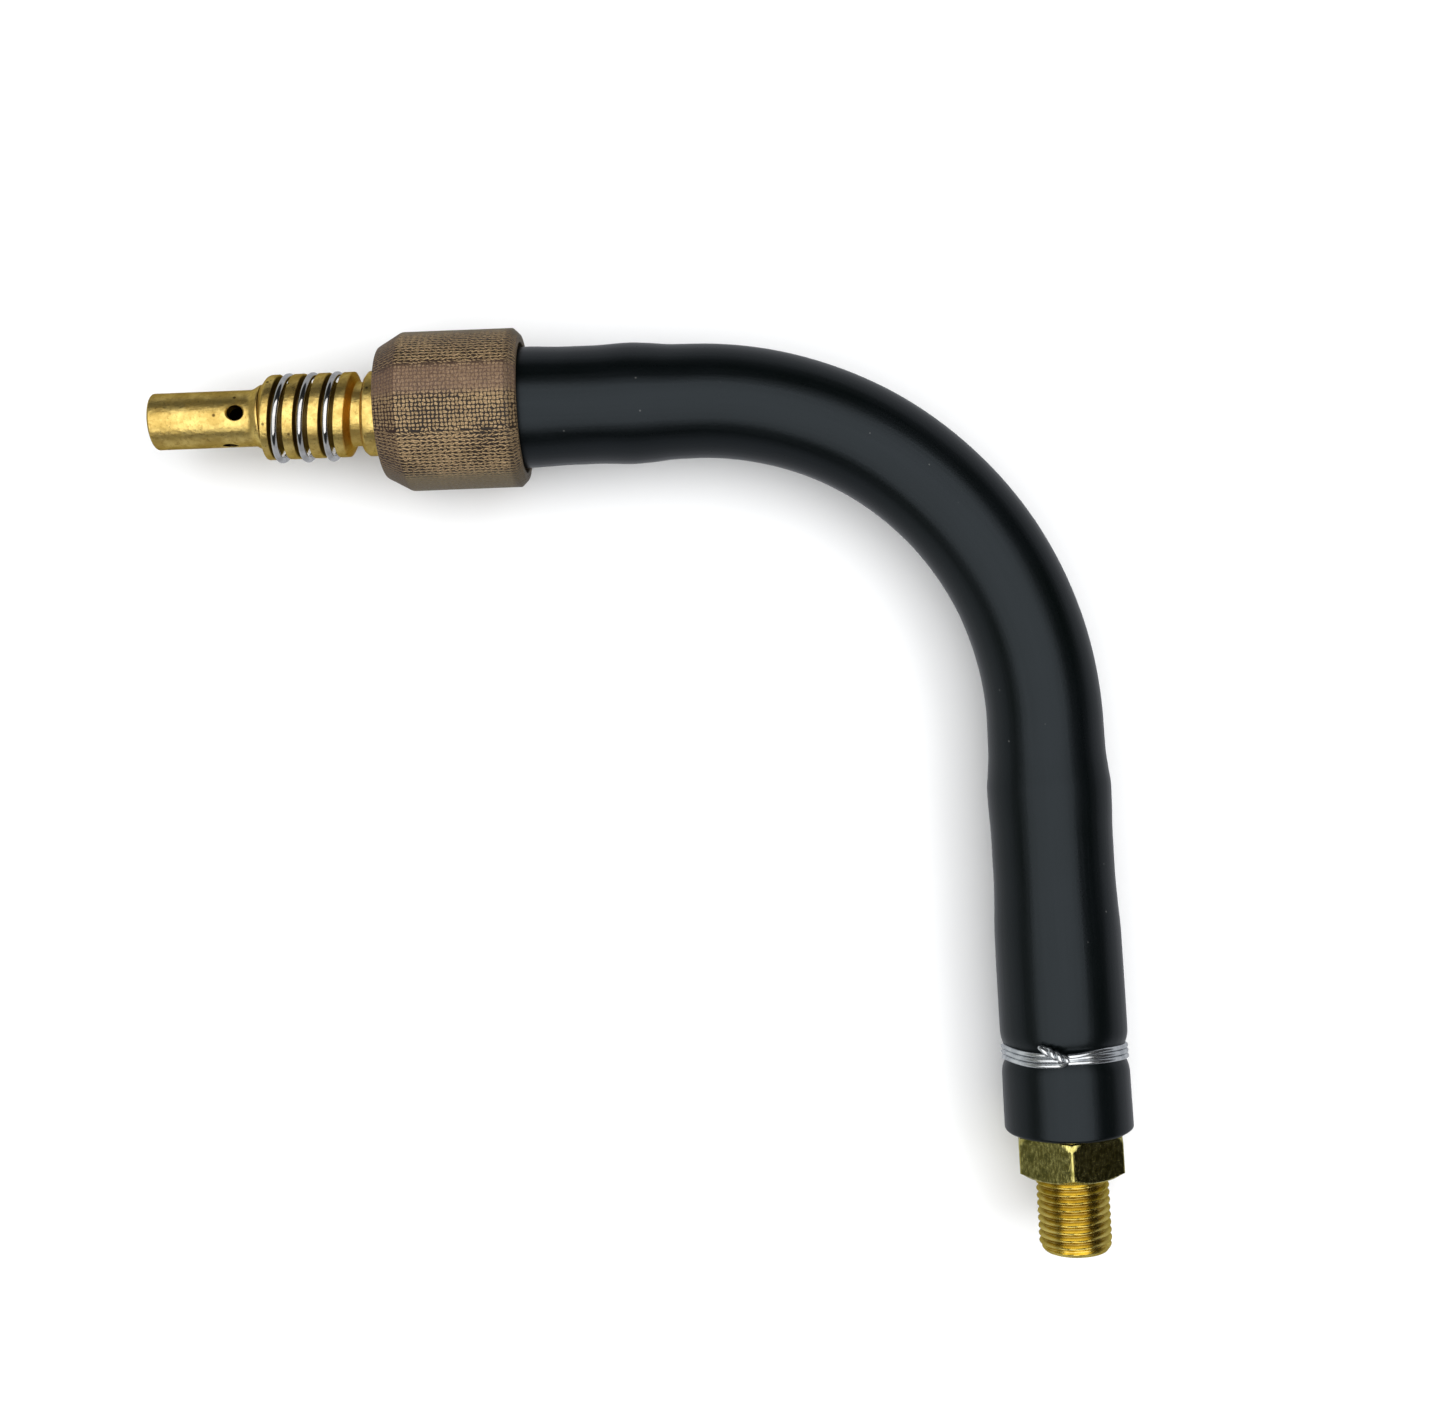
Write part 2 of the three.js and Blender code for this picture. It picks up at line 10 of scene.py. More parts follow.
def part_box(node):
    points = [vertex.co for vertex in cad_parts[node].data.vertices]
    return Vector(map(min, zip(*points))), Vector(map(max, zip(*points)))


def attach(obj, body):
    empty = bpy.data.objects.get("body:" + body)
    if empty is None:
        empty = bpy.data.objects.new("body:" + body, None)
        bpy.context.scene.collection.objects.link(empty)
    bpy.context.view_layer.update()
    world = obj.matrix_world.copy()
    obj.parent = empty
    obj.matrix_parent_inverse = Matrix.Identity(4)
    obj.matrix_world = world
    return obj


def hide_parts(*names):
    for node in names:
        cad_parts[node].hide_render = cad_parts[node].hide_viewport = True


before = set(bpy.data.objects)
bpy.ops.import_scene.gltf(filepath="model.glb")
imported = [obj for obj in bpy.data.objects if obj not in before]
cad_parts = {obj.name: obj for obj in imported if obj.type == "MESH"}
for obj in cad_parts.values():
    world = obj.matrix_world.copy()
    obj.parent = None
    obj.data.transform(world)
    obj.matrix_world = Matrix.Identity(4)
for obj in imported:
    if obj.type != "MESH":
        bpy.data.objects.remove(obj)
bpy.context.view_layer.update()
MM = 0.001

# ---- driving dimensions, in millimetres unless a line says otherwise ----
LEAN = radians(1.2)  # the rear leg leans this much off square
BEND_RADIUS = 61
BEND_ANGLE = pi / 2 - LEAN
TANGENT = BEND_RADIUS * tan(BEND_ANGLE / 2)  # station where each leg meets the bend
BEND_LENGTH = BEND_RADIUS * BEND_ANGLE
CLEARANCE = 0.3

TIP_FACE = 155.85  # stations on the front leg, from the corner where the two axes meet
GAS_HOLES = 140.25
LEVEL_GAS_HOLES = 142.4
HEAD_FACE = 135.95
CAP_FACE = 114.7
CAP_REAR = 89.7
O_RING_STATION = 112.3
JACKET_FRONT = 106
HEAD_REAR = 96
FERRULE_REAR = 66.9

REAR_FERRULE = (69.3, 94.9)  # stations on the rear leg
SHANK = 95.3
TIE = 119.1
JACKET_REAR = 132.75
HEX = 133.05
HEX_FACE = 140.3
NOSE = 154.12

BARREL_RADIUS = 5
TIP_SOCKET_RADIUS = 3
TIP_SOCKET_DEPTH = 12
TIP_THREAD_PITCH = 1.0
TIP_THREAD_DEPTH = 0.35
TIP_FLANGE_RADIUS = 5.85
GAS_HOLE_RADIUS = 1.4
GAS_HOLE_RIM = 0.12
TIP_TURN = radians(2.8)
SPIGOT_RADIUS = 3.9
SPIGOT_LENGTH = 8
SPIGOT_ROOM = 0.7  # the head's bore runs on this far past the spigot
GAS_WAY_RADIUS = 2.8
WASHER_RECESS = (5.5, 1.15)  # radius and depth
HEAD_GAS_WAY_RADIUS = 3.4
HEAD_BORE_LIMIT = 5.6  # everything nearer the head's axis than this is bore

LAND_RADIUS = 7.5
GROOVE_RADIUS = 5.7
GROOVE_WIDTH = 2.6
RING_PITCH = 4.45
FIRST_GROOVE = 132.45
NECK_RADIUS = 5.65
COLLAR = 117.2
NECK_FRONT = 119.7
COLLAR_CHAMFER = 0.6
FLANGE_RADIUS = 8.3
FLANGE_THICKNESS = 2
SOCKET_RADIUS = 6.65
SOCKET_FRONT = 108.6
FERRULE_RADIUS = 7.75
FERRULE_BEAD_RADIUS = 8
REAR_FERRULE_RADIUS = 8.1
SLEEVE_RADIUS = 7.3

RING_WIRE_RADIUS = 0.6
RING_RADIUS = 7.4
RING_GAP = radians(24)
RING_DROP = 0.25
GROOVE_TILT = radians(7.4)  # the grooves and lands lean like the turns of a thread
RINGS = (  # each loose ring's shift along its groove, and its tilt
    ("spring_ring_1", "ring_1", -0.05, radians(9.8)),
    ("spring_ring_2", "ring_2", -0.05, radians(8.4)),
    ("spring_ring_3", "ring_3", -0.05, radians(7.6)),
)

CAP_RADIUS = 14
CAP_BORE_RADIUS = 8.6
CAP_REAR_BORE_RADIUS = 11.5
CAP_FRONT_CHAMFER = (2.43, 4.33)  # radial, axial
CAP_REAR_CHAMFER = 1.15
CAP_WEB = 7
YARN_PITCH = 0.7
YARNS_ROUND = 126  # warp and weft crossings round the cap
O_RING_RADIUS = 7.6
O_RING_SECTION = 0.7
O_RING_GROOVE = 2  # width

SHANK_RADIUS = 7.6
BARB_RADIUS = 8.45
BARB_LENGTH = 6
BARBS = 3
SOCKET_REAR = 118.6
CONNECTOR_BORE_RADIUS = 4.2
HEX_ACROSS_FLATS = 18.1
HEX_TURN = radians(10)
HEX_EDGE = 0.42  # radius of the six long edges
THREAD_RADIUS = 6.58
THREAD_PITCH = 1.337
THREAD_DEPTH = 0.82
THREAD_COLLAR = (6.7, 0.25)  # radius and height of the plain step where the thread meets the hexagon
NOSE_RADIUS = 5.7
NOSE_CHAMFER = 1.2

WIRE_RADIUS = 0.45
WIRE_PITCH = 0.92
TIE_RADIUS = 10.72
TIE_TILT = radians(6.9)
TIE_SINK = 1.0  # how deep the tie wire draws the rubber in
TIE_SINK_REACH = 1.9
BAND_START = 2  # degrees back from the knot to the band's near end
BAND_SWEEP = 350  # degrees round
BAND_RISE = 0.7  # on the inside of the bend the band sits this much nearer the bend
WAIST_RISE = 0.6  # and the rubber's waist follows it
KNOT_ANGLE = radians(10)  # round from the top, towards the inside of the bend
TWIST_TURNS = 1.7
TWIST_SWEEP = 20  # degrees round the jacket
TWIST_REACH = 2.27  # along the jacket
TWIST_LIFT = 1.2  # above the band
TWIST_CORE = 0.42  # from the twist's middle to the middle of each wire

JACKET_RADIUS = 10.7  # on average, for its girth
CUT_UNEVENNESS = 0.12

# ---- the frame: where the CAD model says things are ----
tip_low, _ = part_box("tip_holder")
cap_low, cap_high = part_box("insulator_cap")
AXIS = (cap_low + cap_high) / 2
CORNER = Vector((tip_low.x + TIP_FACE * MM, AXIS.y, AXIS.z))


def leg(turn):
    """Millimetres on a leg, with its axis along Y from the corner, to metres in the frame."""
    return Matrix.Translation(CORNER) @ Matrix.Rotation(turn, 4, "Z") @ Matrix.Scale(MM, 4)


FRONT_LEG = leg(pi / 2)
REAR_LEG = leg(pi + LEAN)
TIE_FRAME = REAR_LEG @ Matrix.Translation((0, TIE, 0)) @ Matrix.Rotation(TIE_TILT, 4, "X")


def added(name, data):
    """A new object, linked into the scene."""
    thing = bpy.data.objects.new(name, data)
    bpy.context.scene.collection.objects.link(thing)
    return thing


# ---- camera: straight down on the neck as it lies ----
camera_data = bpy.data.cameras.new("camera")
camera_data.lens = 39.737
camera_data.sensor_width = 36
camera = added("camera", camera_data)
camera.location = (0.01453, 0.01507, 0.29982)
camera.rotation_euler = (0, 0, -0.0389)
bpy.context.scene.camera = camera


# ---- node materials ----
class Look:
    """A node material on one Principled shader, with short calls for the nodes it needs."""

    def __init__(self, name, **sockets):
        self.material = bpy.data.materials.new(name)
        self.material.use_nodes = True
        self.tree = self.material.node_tree
        self.tree.nodes.clear()
        self.shader = self.node("ShaderNodeBsdfPrincipled", **sockets)
        self.node("ShaderNodeOutputMaterial", Surface=self.shader.outputs[0])

    def node(self, kind, **sockets):
        """A new node, with its sockets fed by name. An underscore stands for a space."""
        node = self.tree.nodes.new(kind)
        for socket, value in sockets.items():
            self.feed(node.inputs[socket.replace("_", " ")], value)
        return node

    def feed(self, socket, value):
        """A value or another node's output into a socket."""
        if isinstance(value, bpy.types.NodeSocket):
            self.tree.links.new(value, socket)
        elif socket.type == "RGBA":
            socket.default_value = (*value, 1)
        else:
            socket.default_value = value

    def set(self, socket, value):
        self.feed(self.shader.inputs[socket], value)

    def place(self, kind="Object", scale=(1, 1, 1), turn=(0, 0, 0)):
        """Texture coordinates: Object in metres, or UV in millimetres along and round a piece."""
        coordinates = self.node("ShaderNodeTexCoord").outputs[kind]
        return self.node("ShaderNodeMapping", Vector=coordinates, Scale=scale, Rotation=turn).outputs[0]

    def noise(self, vector, scale, detail=3, roughness=0.5):
        grain = {"Scale": scale, "Detail": detail, "Roughness": roughness}
        return self.node("ShaderNodeTexNoise", Vector=vector, **grain).outputs["Fac"]

    def cells(self, vector, scale):
        """Distance to the nearest of a field of scattered points."""
        return self.node("ShaderNodeTexVoronoi", Vector=vector, Scale=scale).outputs["Distance"]

    def result(self, node, values):
        """The node's first output, with the values fed to its sockets in order."""
        for socket, value in zip(node.inputs, values):
            self.feed(socket, value)
        return node.outputs[0]

    def math(self, operation, *values):
        node = self.node("ShaderNodeMath")
        node.operation = operation
        return self.result(node, values)

    def times(self, first, second):
        return self.math("MULTIPLY", first, second)

    def plus(self, first, second):
        return self.math("ADD", first, second)

    def minus(self, first, second):
        return self.math("SUBTRACT", first, second)

    def spread(self, value, low, high, to_low=0, to_high=1):
        """The value between low and high, eased to the new range."""
        node = self.node("ShaderNodeMapRange")
        node.interpolation_type = "SMOOTHSTEP"
        return self.result(node, (value, low, high, to_low, to_high))

    def blend(self, factor, first, second):
        """A colour between two others."""
        node = self.node("ShaderNodeMix")
        node.data_type = "RGBA"
        colours = [socket for socket in node.inputs if socket.type == "RGBA"]
        self.feed(node.inputs["Factor"], factor)
        self.feed(colours[0], first)
        self.feed(colours[1], second)
        return [socket for socket in node.outputs if socket.type == "RGBA"][0]

    def split(self, vector):
        return self.node("ShaderNodeSeparateXYZ", Vector=vector).outputs

    def from_corner(self):
        """X, Y and Z in millimetres from the corner where the two legs' axes meet."""
        places = self.split(self.place())
        return [self.times(self.minus(place, middle), 1 / MM) for place, middle in zip(places, CORNER)]

    def from_axis(self, across, up):
        """Distance from an axis, out of the distances across and above it."""
        return self.math("SQRT", self.plus(self.times(across, across), self.times(up, up)))

    def bump(self, height, depth, normal=None):
        """Relief: a height from 0 to 1 that stands depth millimetres tall."""
        node = self.node("ShaderNodeBump", Height=height, Distance=depth * MM)
        if normal:
            self.feed(node.inputs["Normal"], normal)
        return node.outputs[0]


def brass_look():
    """Machined brass with a dull oxide film, brown specks and fine turning marks, with painted shade in the
    ring grooves and painted shade blackening the bore and the gas holes."""
    look = Look("brass", Metallic=1, Specular_Tint=(0.62, 0.52, 0.3))
    solid = look.place()
    clouds = look.noise(solid, 300, 4, 0.65)
    grain = look.noise(solid, 2600, 4, 0.7)
    sparkle = look.noise(solid, 1500, 3, 0.6)
    specks = look.spread(look.noise(solid, 800, 4, 0.75), 0.58, 0.72)
    pits = look.spread(look.cells(solid, 300), 0.05, 0.12, 1, 0)
    base = look.blend(look.spread(clouds, 0.35, 0.68), (0.62, 0.43, 0.12), (0.90, 0.67, 0.22))
    base = look.blend(look.spread(sparkle, 0.5, 0.72, 0, 0.6), base, (0.46, 0.28, 0.07))
    base = look.blend(look.times(specks, 0.65), base, (0.20, 0.10, 0.025))
    base = look.blend(look.times(pits, 0.85), base, (0.07, 0.04, 0.012))
    x, across, up = look.from_corner()
    station = look.times(x, -1)
    radius = look.from_axis(across, up)
    leaning = look.plus(station, look.times(across, tan(GROOVE_TILT)))
    # Painted shade: the walls and floors of the ring grooves are darkened, and they are rougher too.
    sunk = look.spread(radius, LAND_RADIUS - 0.5, LAND_RADIUS - 0.12, 1, 0)
    grooves = look.times(look.spread(leaning, NECK_FRONT + 1, NECK_FRONT + 1.3), sunk)
    grooves = look.times(grooves, look.spread(leaning, HEAD_FACE - 2.2, HEAD_FACE - 1.9, 1, 0))
    base = look.blend(look.times(grooves, 0.85), base, (0.13, 0.075, 0.018))
    shoulder = look.spread(leaning, NECK_FRONT - 0.1, NECK_FRONT + 0.1)
    shoulder = look.times(shoulder, look.spread(leaning, NECK_FRONT + 0.8, NECK_FRONT + 1, 1, 0))
    base = look.blend(look.times(shoulder, 0.7), base, (0.60, 0.32, 0.06))
    # Painted shade: the bore and the gas holes are coloured near black.
    inside = look.spread(radius, BARREL_RADIUS - 0.35, BARREL_RADIUS - 0.15, 1, 0)
    inside = look.times(inside, look.spread(station, HEAD_FACE, HEAD_FACE + 0.3))
    look.set("Base Color", look.blend(inside, base, (0.03, 0.012, 0.008)))
    rough = look.spread(clouds, 0.3, 0.7, 0.38, 0.26)
    rough = look.plus(rough, look.times(grain, 0.08))
    look.set("Roughness", look.plus(rough, look.times(grooves, 0.15)))
    lathe_marks = look.noise(look.place("UV", (9, 0.15, 1)), 1, 2, 0.5)
    relief = look.bump(sparkle, 0.08)
    look.set("Normal", look.bump(lathe_marks, 0.012, relief))
    return look.material


def thread_brass_look():
    """Brighter brass, freshly cut, for the connector's thread and bore, with painted shade in the thread's
    root.
    """
    look = Look("thread_brass", Metallic=1, Specular_Tint=(0.8, 0.7, 0.4))
    solid = look.place()
    clouds = look.noise(solid, 320, 3, 0.5)
    grain = look.noise(solid, 2800, 3, 0.6)
    base = look.blend(look.spread(clouds, 0.35, 0.7), (0.64, 0.49, 0.12), (0.88, 0.71, 0.21))
    base = look.blend(look.spread(grain, 0.62, 0.78, 0, 0.5), base, (0.30, 0.20, 0.05))
    x, y, up = look.from_corner()
    across = look.plus(look.times(x, cos(LEAN)), look.times(y, sin(LEAN)))
    radius = look.from_axis(across, up)
    # Painted shade: the thread's root is darkened.
    root_shade = look.spread(radius, THREAD_RADIUS - THREAD_DEPTH, THREAD_RADIUS - 0.3, 1, 0)
    root_shade = look.times(root_shade, look.spread(y, 1.4 - NOSE, 1.8 - NOSE))
    look.set("Base Color", look.blend(look.times(root_shade, 0.6), base, (0.24, 0.15, 0.03)))
    look.set("Roughness", look.spread(grain, 0.3, 0.7, 0.24, 0.30))
    look.set("Normal", look.bump(grain, 0.003))
    return look.material


def polished_brass_look():
    """Bright dipped brass: glossy, with streaks down the bar and olive and brown tarnish."""
    look = Look("polished_brass", Metallic=1)
    streak_place = look.place("UV", (0.28, 1, 1))
    streaks = look.noise(streak_place, 3.2, 4, 0.65)
    blotches = look.noise(look.place(), 420, 4, 0.6)
    base = look.blend(look.spread(streaks, 0.36, 0.66), (0.40, 0.34, 0.08), (0.80, 0.72, 0.27))
    base = look.blend(look.spread(blotches, 0.5, 0.72, 0, 0.75), base, (0.20, 0.19, 0.045))
    look.set("Base Color", base)
    look.set("Roughness", look.spread(streaks, 0.3, 0.7, 0.09, 0.2))
    relief = look.bump(streaks, 0.03)
    look.set("Normal", look.bump(blotches, 0.03, relief))
    return look.material


def phenolic_look():
    """Turned canvas laminate: the cutter bares tan yarn crowns in dark resin. Round the cap it meets the
    cloth flat on as a square weave, then on the slant as broken streaks, then edge on as fine lines."""
    look = Look("phenolic", Specular_IOR_Level=0.3)
    solid = look.place()
    u, v, _ = look.split(look.place("UV"))
    wobble = look.minus(look.noise(solid, 1150, 2, 0.5), 0.5)
    drift = look.noise(solid, 130, 3, 0.55)
    lie = look.math("WRAP", look.times(v, 1 / CAP_RADIUS), pi / 2, -pi / 2)
    off = look.math("ABSOLUTE", lie)
    edge_on = look.spread(off, 0.98, 1.2)
    streaked = look.spread(off, 0.34, 0.5)
    plain = look.times(look.spread(lie, -0.02, 0.12), look.spread(lie, 0.34, 0.5, 1, 0))
    # Square weave.
    warp = look.plus(look.times(u, pi / YARN_PITCH), look.times(wobble, 4))
    weft = look.times(v, YARNS_ROUND / 2 / CAP_RADIUS)
    loose_weft = look.plus(weft, look.times(wobble, 3))
    square = look.times(look.math("COSINE", warp), look.math("COSINE", loose_weft))
    # Streaks: the same yarns cut long, stepping sideways from row to row.
    step = look.times(look.math("SINE", weft), 1.9)
    long_warp = look.plus(look.times(u, pi / YARN_PITCH / 1.5), step)
    long_warp = look.plus(long_warp, look.times(wobble, 4.5))
    close_weft = look.plus(weft, look.times(wobble, 2.5))
    slanted = look.times(look.math("COSINE", long_warp), look.math("COSINE", close_weft))
    weave = look.plus(look.times(slanted, streaked), look.times(square, look.minus(1, streaked)))
    gap = look.plus(look.spread(drift, 0.35, 0.65, 0.14, 0.38), look.times(streaked, 0.06))
    crown = look.minus(look.math("ABSOLUTE", weave), gap)
    yarn = look.spread(crown, -0.04, 0.2)
    lengthways = look.noise(look.place("UV", (1.6, 9, 1)), 1, 3, 0.6)
    crossways = look.noise(look.place("UV", (9, 1.6, 1)), 1, 3, 0.6)
    side = look.spread(weave, -0.05, 0.05)
    fibres = look.plus(look.times(lengthways, side), look.times(crossways, look.minus(1, side)))
    thread = look.blend(look.spread(fibres, 0.36, 0.66), (0.15, 0.095, 0.045), (0.44, 0.31, 0.165))
    base = look.blend(yarn, (0.010, 0.006, 0.003), thread)
    # Where the cloth lies edge on, or just under the skin, its pattern fades into the resin.
    smeared = look.blend(look.spread(crossways, 0.35, 0.65), (0.085, 0.048, 0.032), (0.21, 0.135, 0.092))
    base = look.blend(look.times(plain, 0.7), base, smeared)
    silt = look.blend(look.spread(lengthways, 0.35, 0.65), (0.075, 0.058, 0.032), (0.16, 0.125, 0.070))
    base = look.blend(look.times(edge_on, 0.85), base, silt)
    # The front chamfer and the rear rim are darker.
    station = look.times(look.from_corner()[0], -1)
    edge = CAP_FACE - CAP_FRONT_CHAMFER[1]
    chamfer = look.spread(station, edge - 0.1, edge + 0.1)
    base = look.blend(look.times(chamfer, 0.35), base, (0.030, 0.010, 0.007))
    rim = look.spread(station, CAP_REAR + 1.5, CAP_REAR + 2.4, 1, 0)
    base = look.blend(look.times(rim, 0.45), base, (0.022, 0.015, 0.009))
    look.set("Base Color", base)
    look.set("Roughness", look.spread(yarn, 0, 1, 0.46, 0.66))
    relief = look.bump(yarn, 0.05)
    look.set("Normal", look.bump(fibres, 0.02, relief))
    return look.material


def rubber_look():
    """Black rubber tube with a satin skin, fine grain, faint draw lines and a little dust."""
    look = Look("jacket_rubber", Specular_IOR_Level=0.34, Specular_Tint=(0.78, 0.90, 1.0))
    grain = look.noise(look.place(), 2400, 3, 0.6)
    drawn = look.noise(look.place("UV", (0.035, 1.1, 1)), 1, 3, 0.55)
    clouds = look.noise(look.place(), 60, 3, 0.5)
    dust = look.spread(look.cells(look.place(), 260), 0.03, 0.055, 1, 0)
    dusty = look.times(dust, look.spread(clouds, 0.5, 0.6, 0, 0.5))
    base = look.blend(look.spread(clouds, 0.35, 0.7), (0.0005, 0.0010, 0.0009), (0.0010, 0.0015, 0.0017))
    look.set("Base Color", look.blend(dusty, base, (0.11, 0.11, 0.105)))
    rough = look.spread(drawn, 0.3, 0.7, 0.25, 0.31)
    look.set("Roughness", look.plus(rough, look.times(grain, 0.06)))
    relief = look.bump(grain, 0.012)
    look.set("Normal", look.bump(drawn, 0.012, relief))
    return look.material


def wire_look(name, dark, light, rough, streak):
    """Drawn wire: bright, with fine streaks along it and greyer patches."""
    look = Look(name, Metallic=1)
    lines = look.noise(look.place("UV", (0.12, 3.5, 1)), 1, 3, 0.6)
    patches = look.noise(look.place(), 480, 3, 0.6)
    base = look.blend(look.spread(patches, 0.35, 0.68), dark, light)
    look.set("Base Color", look.blend(look.spread(lines, 0.55, 0.75, 0, streak), base, dark))
    look.set("Roughness", look.spread(patches, 0.3, 0.7, rough * 1.15, rough * 0.9))
    look.set("Normal", look.bump(lines, 0.0002))
    return look.material


def plain_metal_look(name, dark, light, rough):
    """The hidden metal pieces: dull, clouded and finely scratched."""
    look = Look(name, Metallic=1)
    solid = look.place()
    clouds = look.noise(solid, 300, 4, 0.6)
    scratches = look.noise(look.place("Object", (1, 1, 1), (0.3, 0.5, 0.2)), 1900, 3, 0.7)
    look.set("Base Color", look.blend(look.spread(clouds, 0.35, 0.68), dark, light))
    look.set("Roughness", look.spread(scratches, 0.3, 0.7, rough, rough + 0.15))
    look.set("Normal", look.bump(scratches, 0.015))
    return look.material


def seal_look():
    """O-ring rubber: black, smooth and faintly mottled."""
    look = Look("seal_rubber")
    mottle = look.noise(look.place(), 900, 3, 0.5)
    base = look.blend(look.spread(mottle, 0.35, 0.7), (0.008, 0.008, 0.008), (0.02, 0.02, 0.019))
    look.set("Base Color", base)
    look.set("Roughness", look.spread(mottle, 0.3, 0.7, 0.3, 0.45))
    look.set("Normal", look.bump(mottle, 0.01))
    return look.material


def glass_look():
    """Braided glass-fibre sleeving, varnished pale yellow."""
    look = Look("glass_fibre", Coat_Weight=0.3)
    solid = look.place()
    x, y, _ = look.split(solid)
    braid = pi / (1.4 * MM)
    one = look.math("SINE", look.times(look.plus(x, y), braid))
    other = look.math("SINE", look.times(look.minus(x, y), braid))
    plait = look.times(one, other)
    base = look.blend(look.spread(plait, -0.4, 0.4), (0.42, 0.33, 0.15), (0.72, 0.62, 0.38))
    look.set("Base Color", base)
    look.set("Roughness", look.spread(plait, -0.5, 0.5, 0.6, 0.45))
    look.set("Normal", look.bump(look.spread(plait, -1, 1), 0.08))
    return look.material


def floor_look():
    """A smooth pale sheet with a faint tooth."""
    look = Look("floor")
    tooth = look.noise(look.place(), 900, 2, 0.5)
    tone = look.noise(look.place(), 6, 2, 0.5)
    look.set("Base Color", look.blend(tone, (0.88, 0.885, 0.89), (0.905, 0.91, 0.915)))
    look.set("Roughness", look.spread(tooth, 0.3, 0.7, 0.6, 0.7))
    return look.material


LOOKS = {
    "brass": brass_look(),
    "polished_brass": polished_brass_look(),
    "thread_brass": thread_brass_look(),
    "hidden_brass": plain_metal_look("hidden_brass", (0.50, 0.34, 0.09), (0.70, 0.50, 0.17), 0.35),
    "braze": plain_metal_look("braze", (0.46, 0.38, 0.20), (0.66, 0.58, 0.36), 0.38),
    "copper": plain_metal_look("copper", (0.55, 0.22, 0.10), (0.80, 0.38, 0.20), 0.3),
    "liner_steel": plain_metal_look("liner_steel", (0.30, 0.30, 0.31), (0.52, 0.52, 0.53), 0.3),
    "phenolic": phenolic_look(),
    "spring_steel": wire_look("spring_steel", (0.50, 0.49, 0.48), (0.68, 0.67, 0.66), 0.1, 0.2),
    "galvanised_wire": wire_look("galvanised_wire", (0.60, 0.62, 0.64), (0.82, 0.84, 0.85), 0.24, 0.12),
    "jacket_rubber": rubber_look(),
    "seal_rubber": seal_look(),
    "glass_fibre": glass_look(),
}


# ---- mesh tools ----
SHARP = radians(32)  # an edge that turns more than this stays sharp
WIRE_END = ((0.45, 0.45), (0.32, 0.82))  # how far a wire's rounded end runs on, and its size, in radii


def smooth(value, low, high):
    """0 up to low, 1 from high, and eased between."""
    f = min(max((value - low) / (high - low), 0), 1)
    return f * f * (3 - 2 * f)


def once_round(sides):
    return [2 * pi * k / sides for k in range(sides)]


def mesh_of(build):
    mesh = bpy.data.meshes.new("mesh")
    build.to_mesh(mesh)
    build.free()
    return mesh


def shaded(mesh):
    """The mesh, smooth except at its sharp edges."""
    mesh.shade_smooth()
    mesh.set_sharp_from_angle(angle=SHARP)
    return mesh


def finished(name, mesh, look):
    """A mesh made into an object, in its material."""
    mesh.name = name
    mesh.materials.append(LOOKS[look])
    return added(name, shaded(mesh))


def softened(outline, radius):
    """A closed outline with its corners rounded to the radius, or less where their sides are short.
    A point can name its own radius as a third number."""
    steps = 3
    rounded = []
    for i, point in enumerate(outline):
        middle = Vector(point[:2])
        own = point[2] if len(point) > 2 else radius
        back = Vector(outline[i - 1][:2]) - middle
        ahead = Vector(outline[(i + 1) % len(outline)][:2]) - middle
        reach = min(own, 0.45 * back.length, 0.45 * ahead.length)
        start = middle + back.normalized() * reach
        end = middle + ahead.normalized() * reach
        for step in range(steps + 1):
            f = step / steps
            rounded.append(start.lerp(middle, f).lerp(middle.lerp(end, f), f))
    return rounded


def grid_mesh(rows, spacing, around):
    """A ring-shaped mesh from rows of points that close on themselves both ways, with UVs in millimetres:
    spacing is each row's distance along the outline, and around the distance once round."""
    count = len(rows[0])
    vertices = [point for row in rows for point in row]
    faces = []
    uvs = []
    for i in range(len(rows)):
        j = (i + 1) % len(rows)
        near, far = spacing[i:i + 2]
        for k in range(count):
            m = (k + 1) % count
            faces.append((i * count + k, j * count + k, j * count + m, i * count + m))
            left = around * k / count
            right = around * (k + 1) / count
            uvs += [(near, left), (far, left), (far, right), (near, right)]
    mesh = bpy.data.meshes.new("mesh")
    mesh.from_pydata(vertices, [], faces)
    layer = mesh.uv_layers.new(name="length_and_girth")
    for loop, uv in zip(layer.data, uvs):
        loop.uv = uv
    mesh.validate()
    return mesh


def turned(outline, place, girth, sides, reshape=None):
    """A closed outline of (radius, station) points turned about the Y axis of a place.
    reshape(radius, station, angle) can move a point; angle runs from +Z towards +X."""
    spacing = [0]
    for i, point in enumerate(outline):
        spacing.append(spacing[-1] + (Vector(outline[(i + 1) % len(outline)]) - Vector(point)).length)
    rows = []
    for radius, station in outline:
        row = []
        for angle in once_round(sides):
            r, s = reshape(radius, station, angle) if reshape else (radius, station)
            row.append(place @ Vector((r * sin(angle), s, r * cos(angle))))
        rows.append(row)
    return grid_mesh(rows, spacing, 2 * pi * girth)


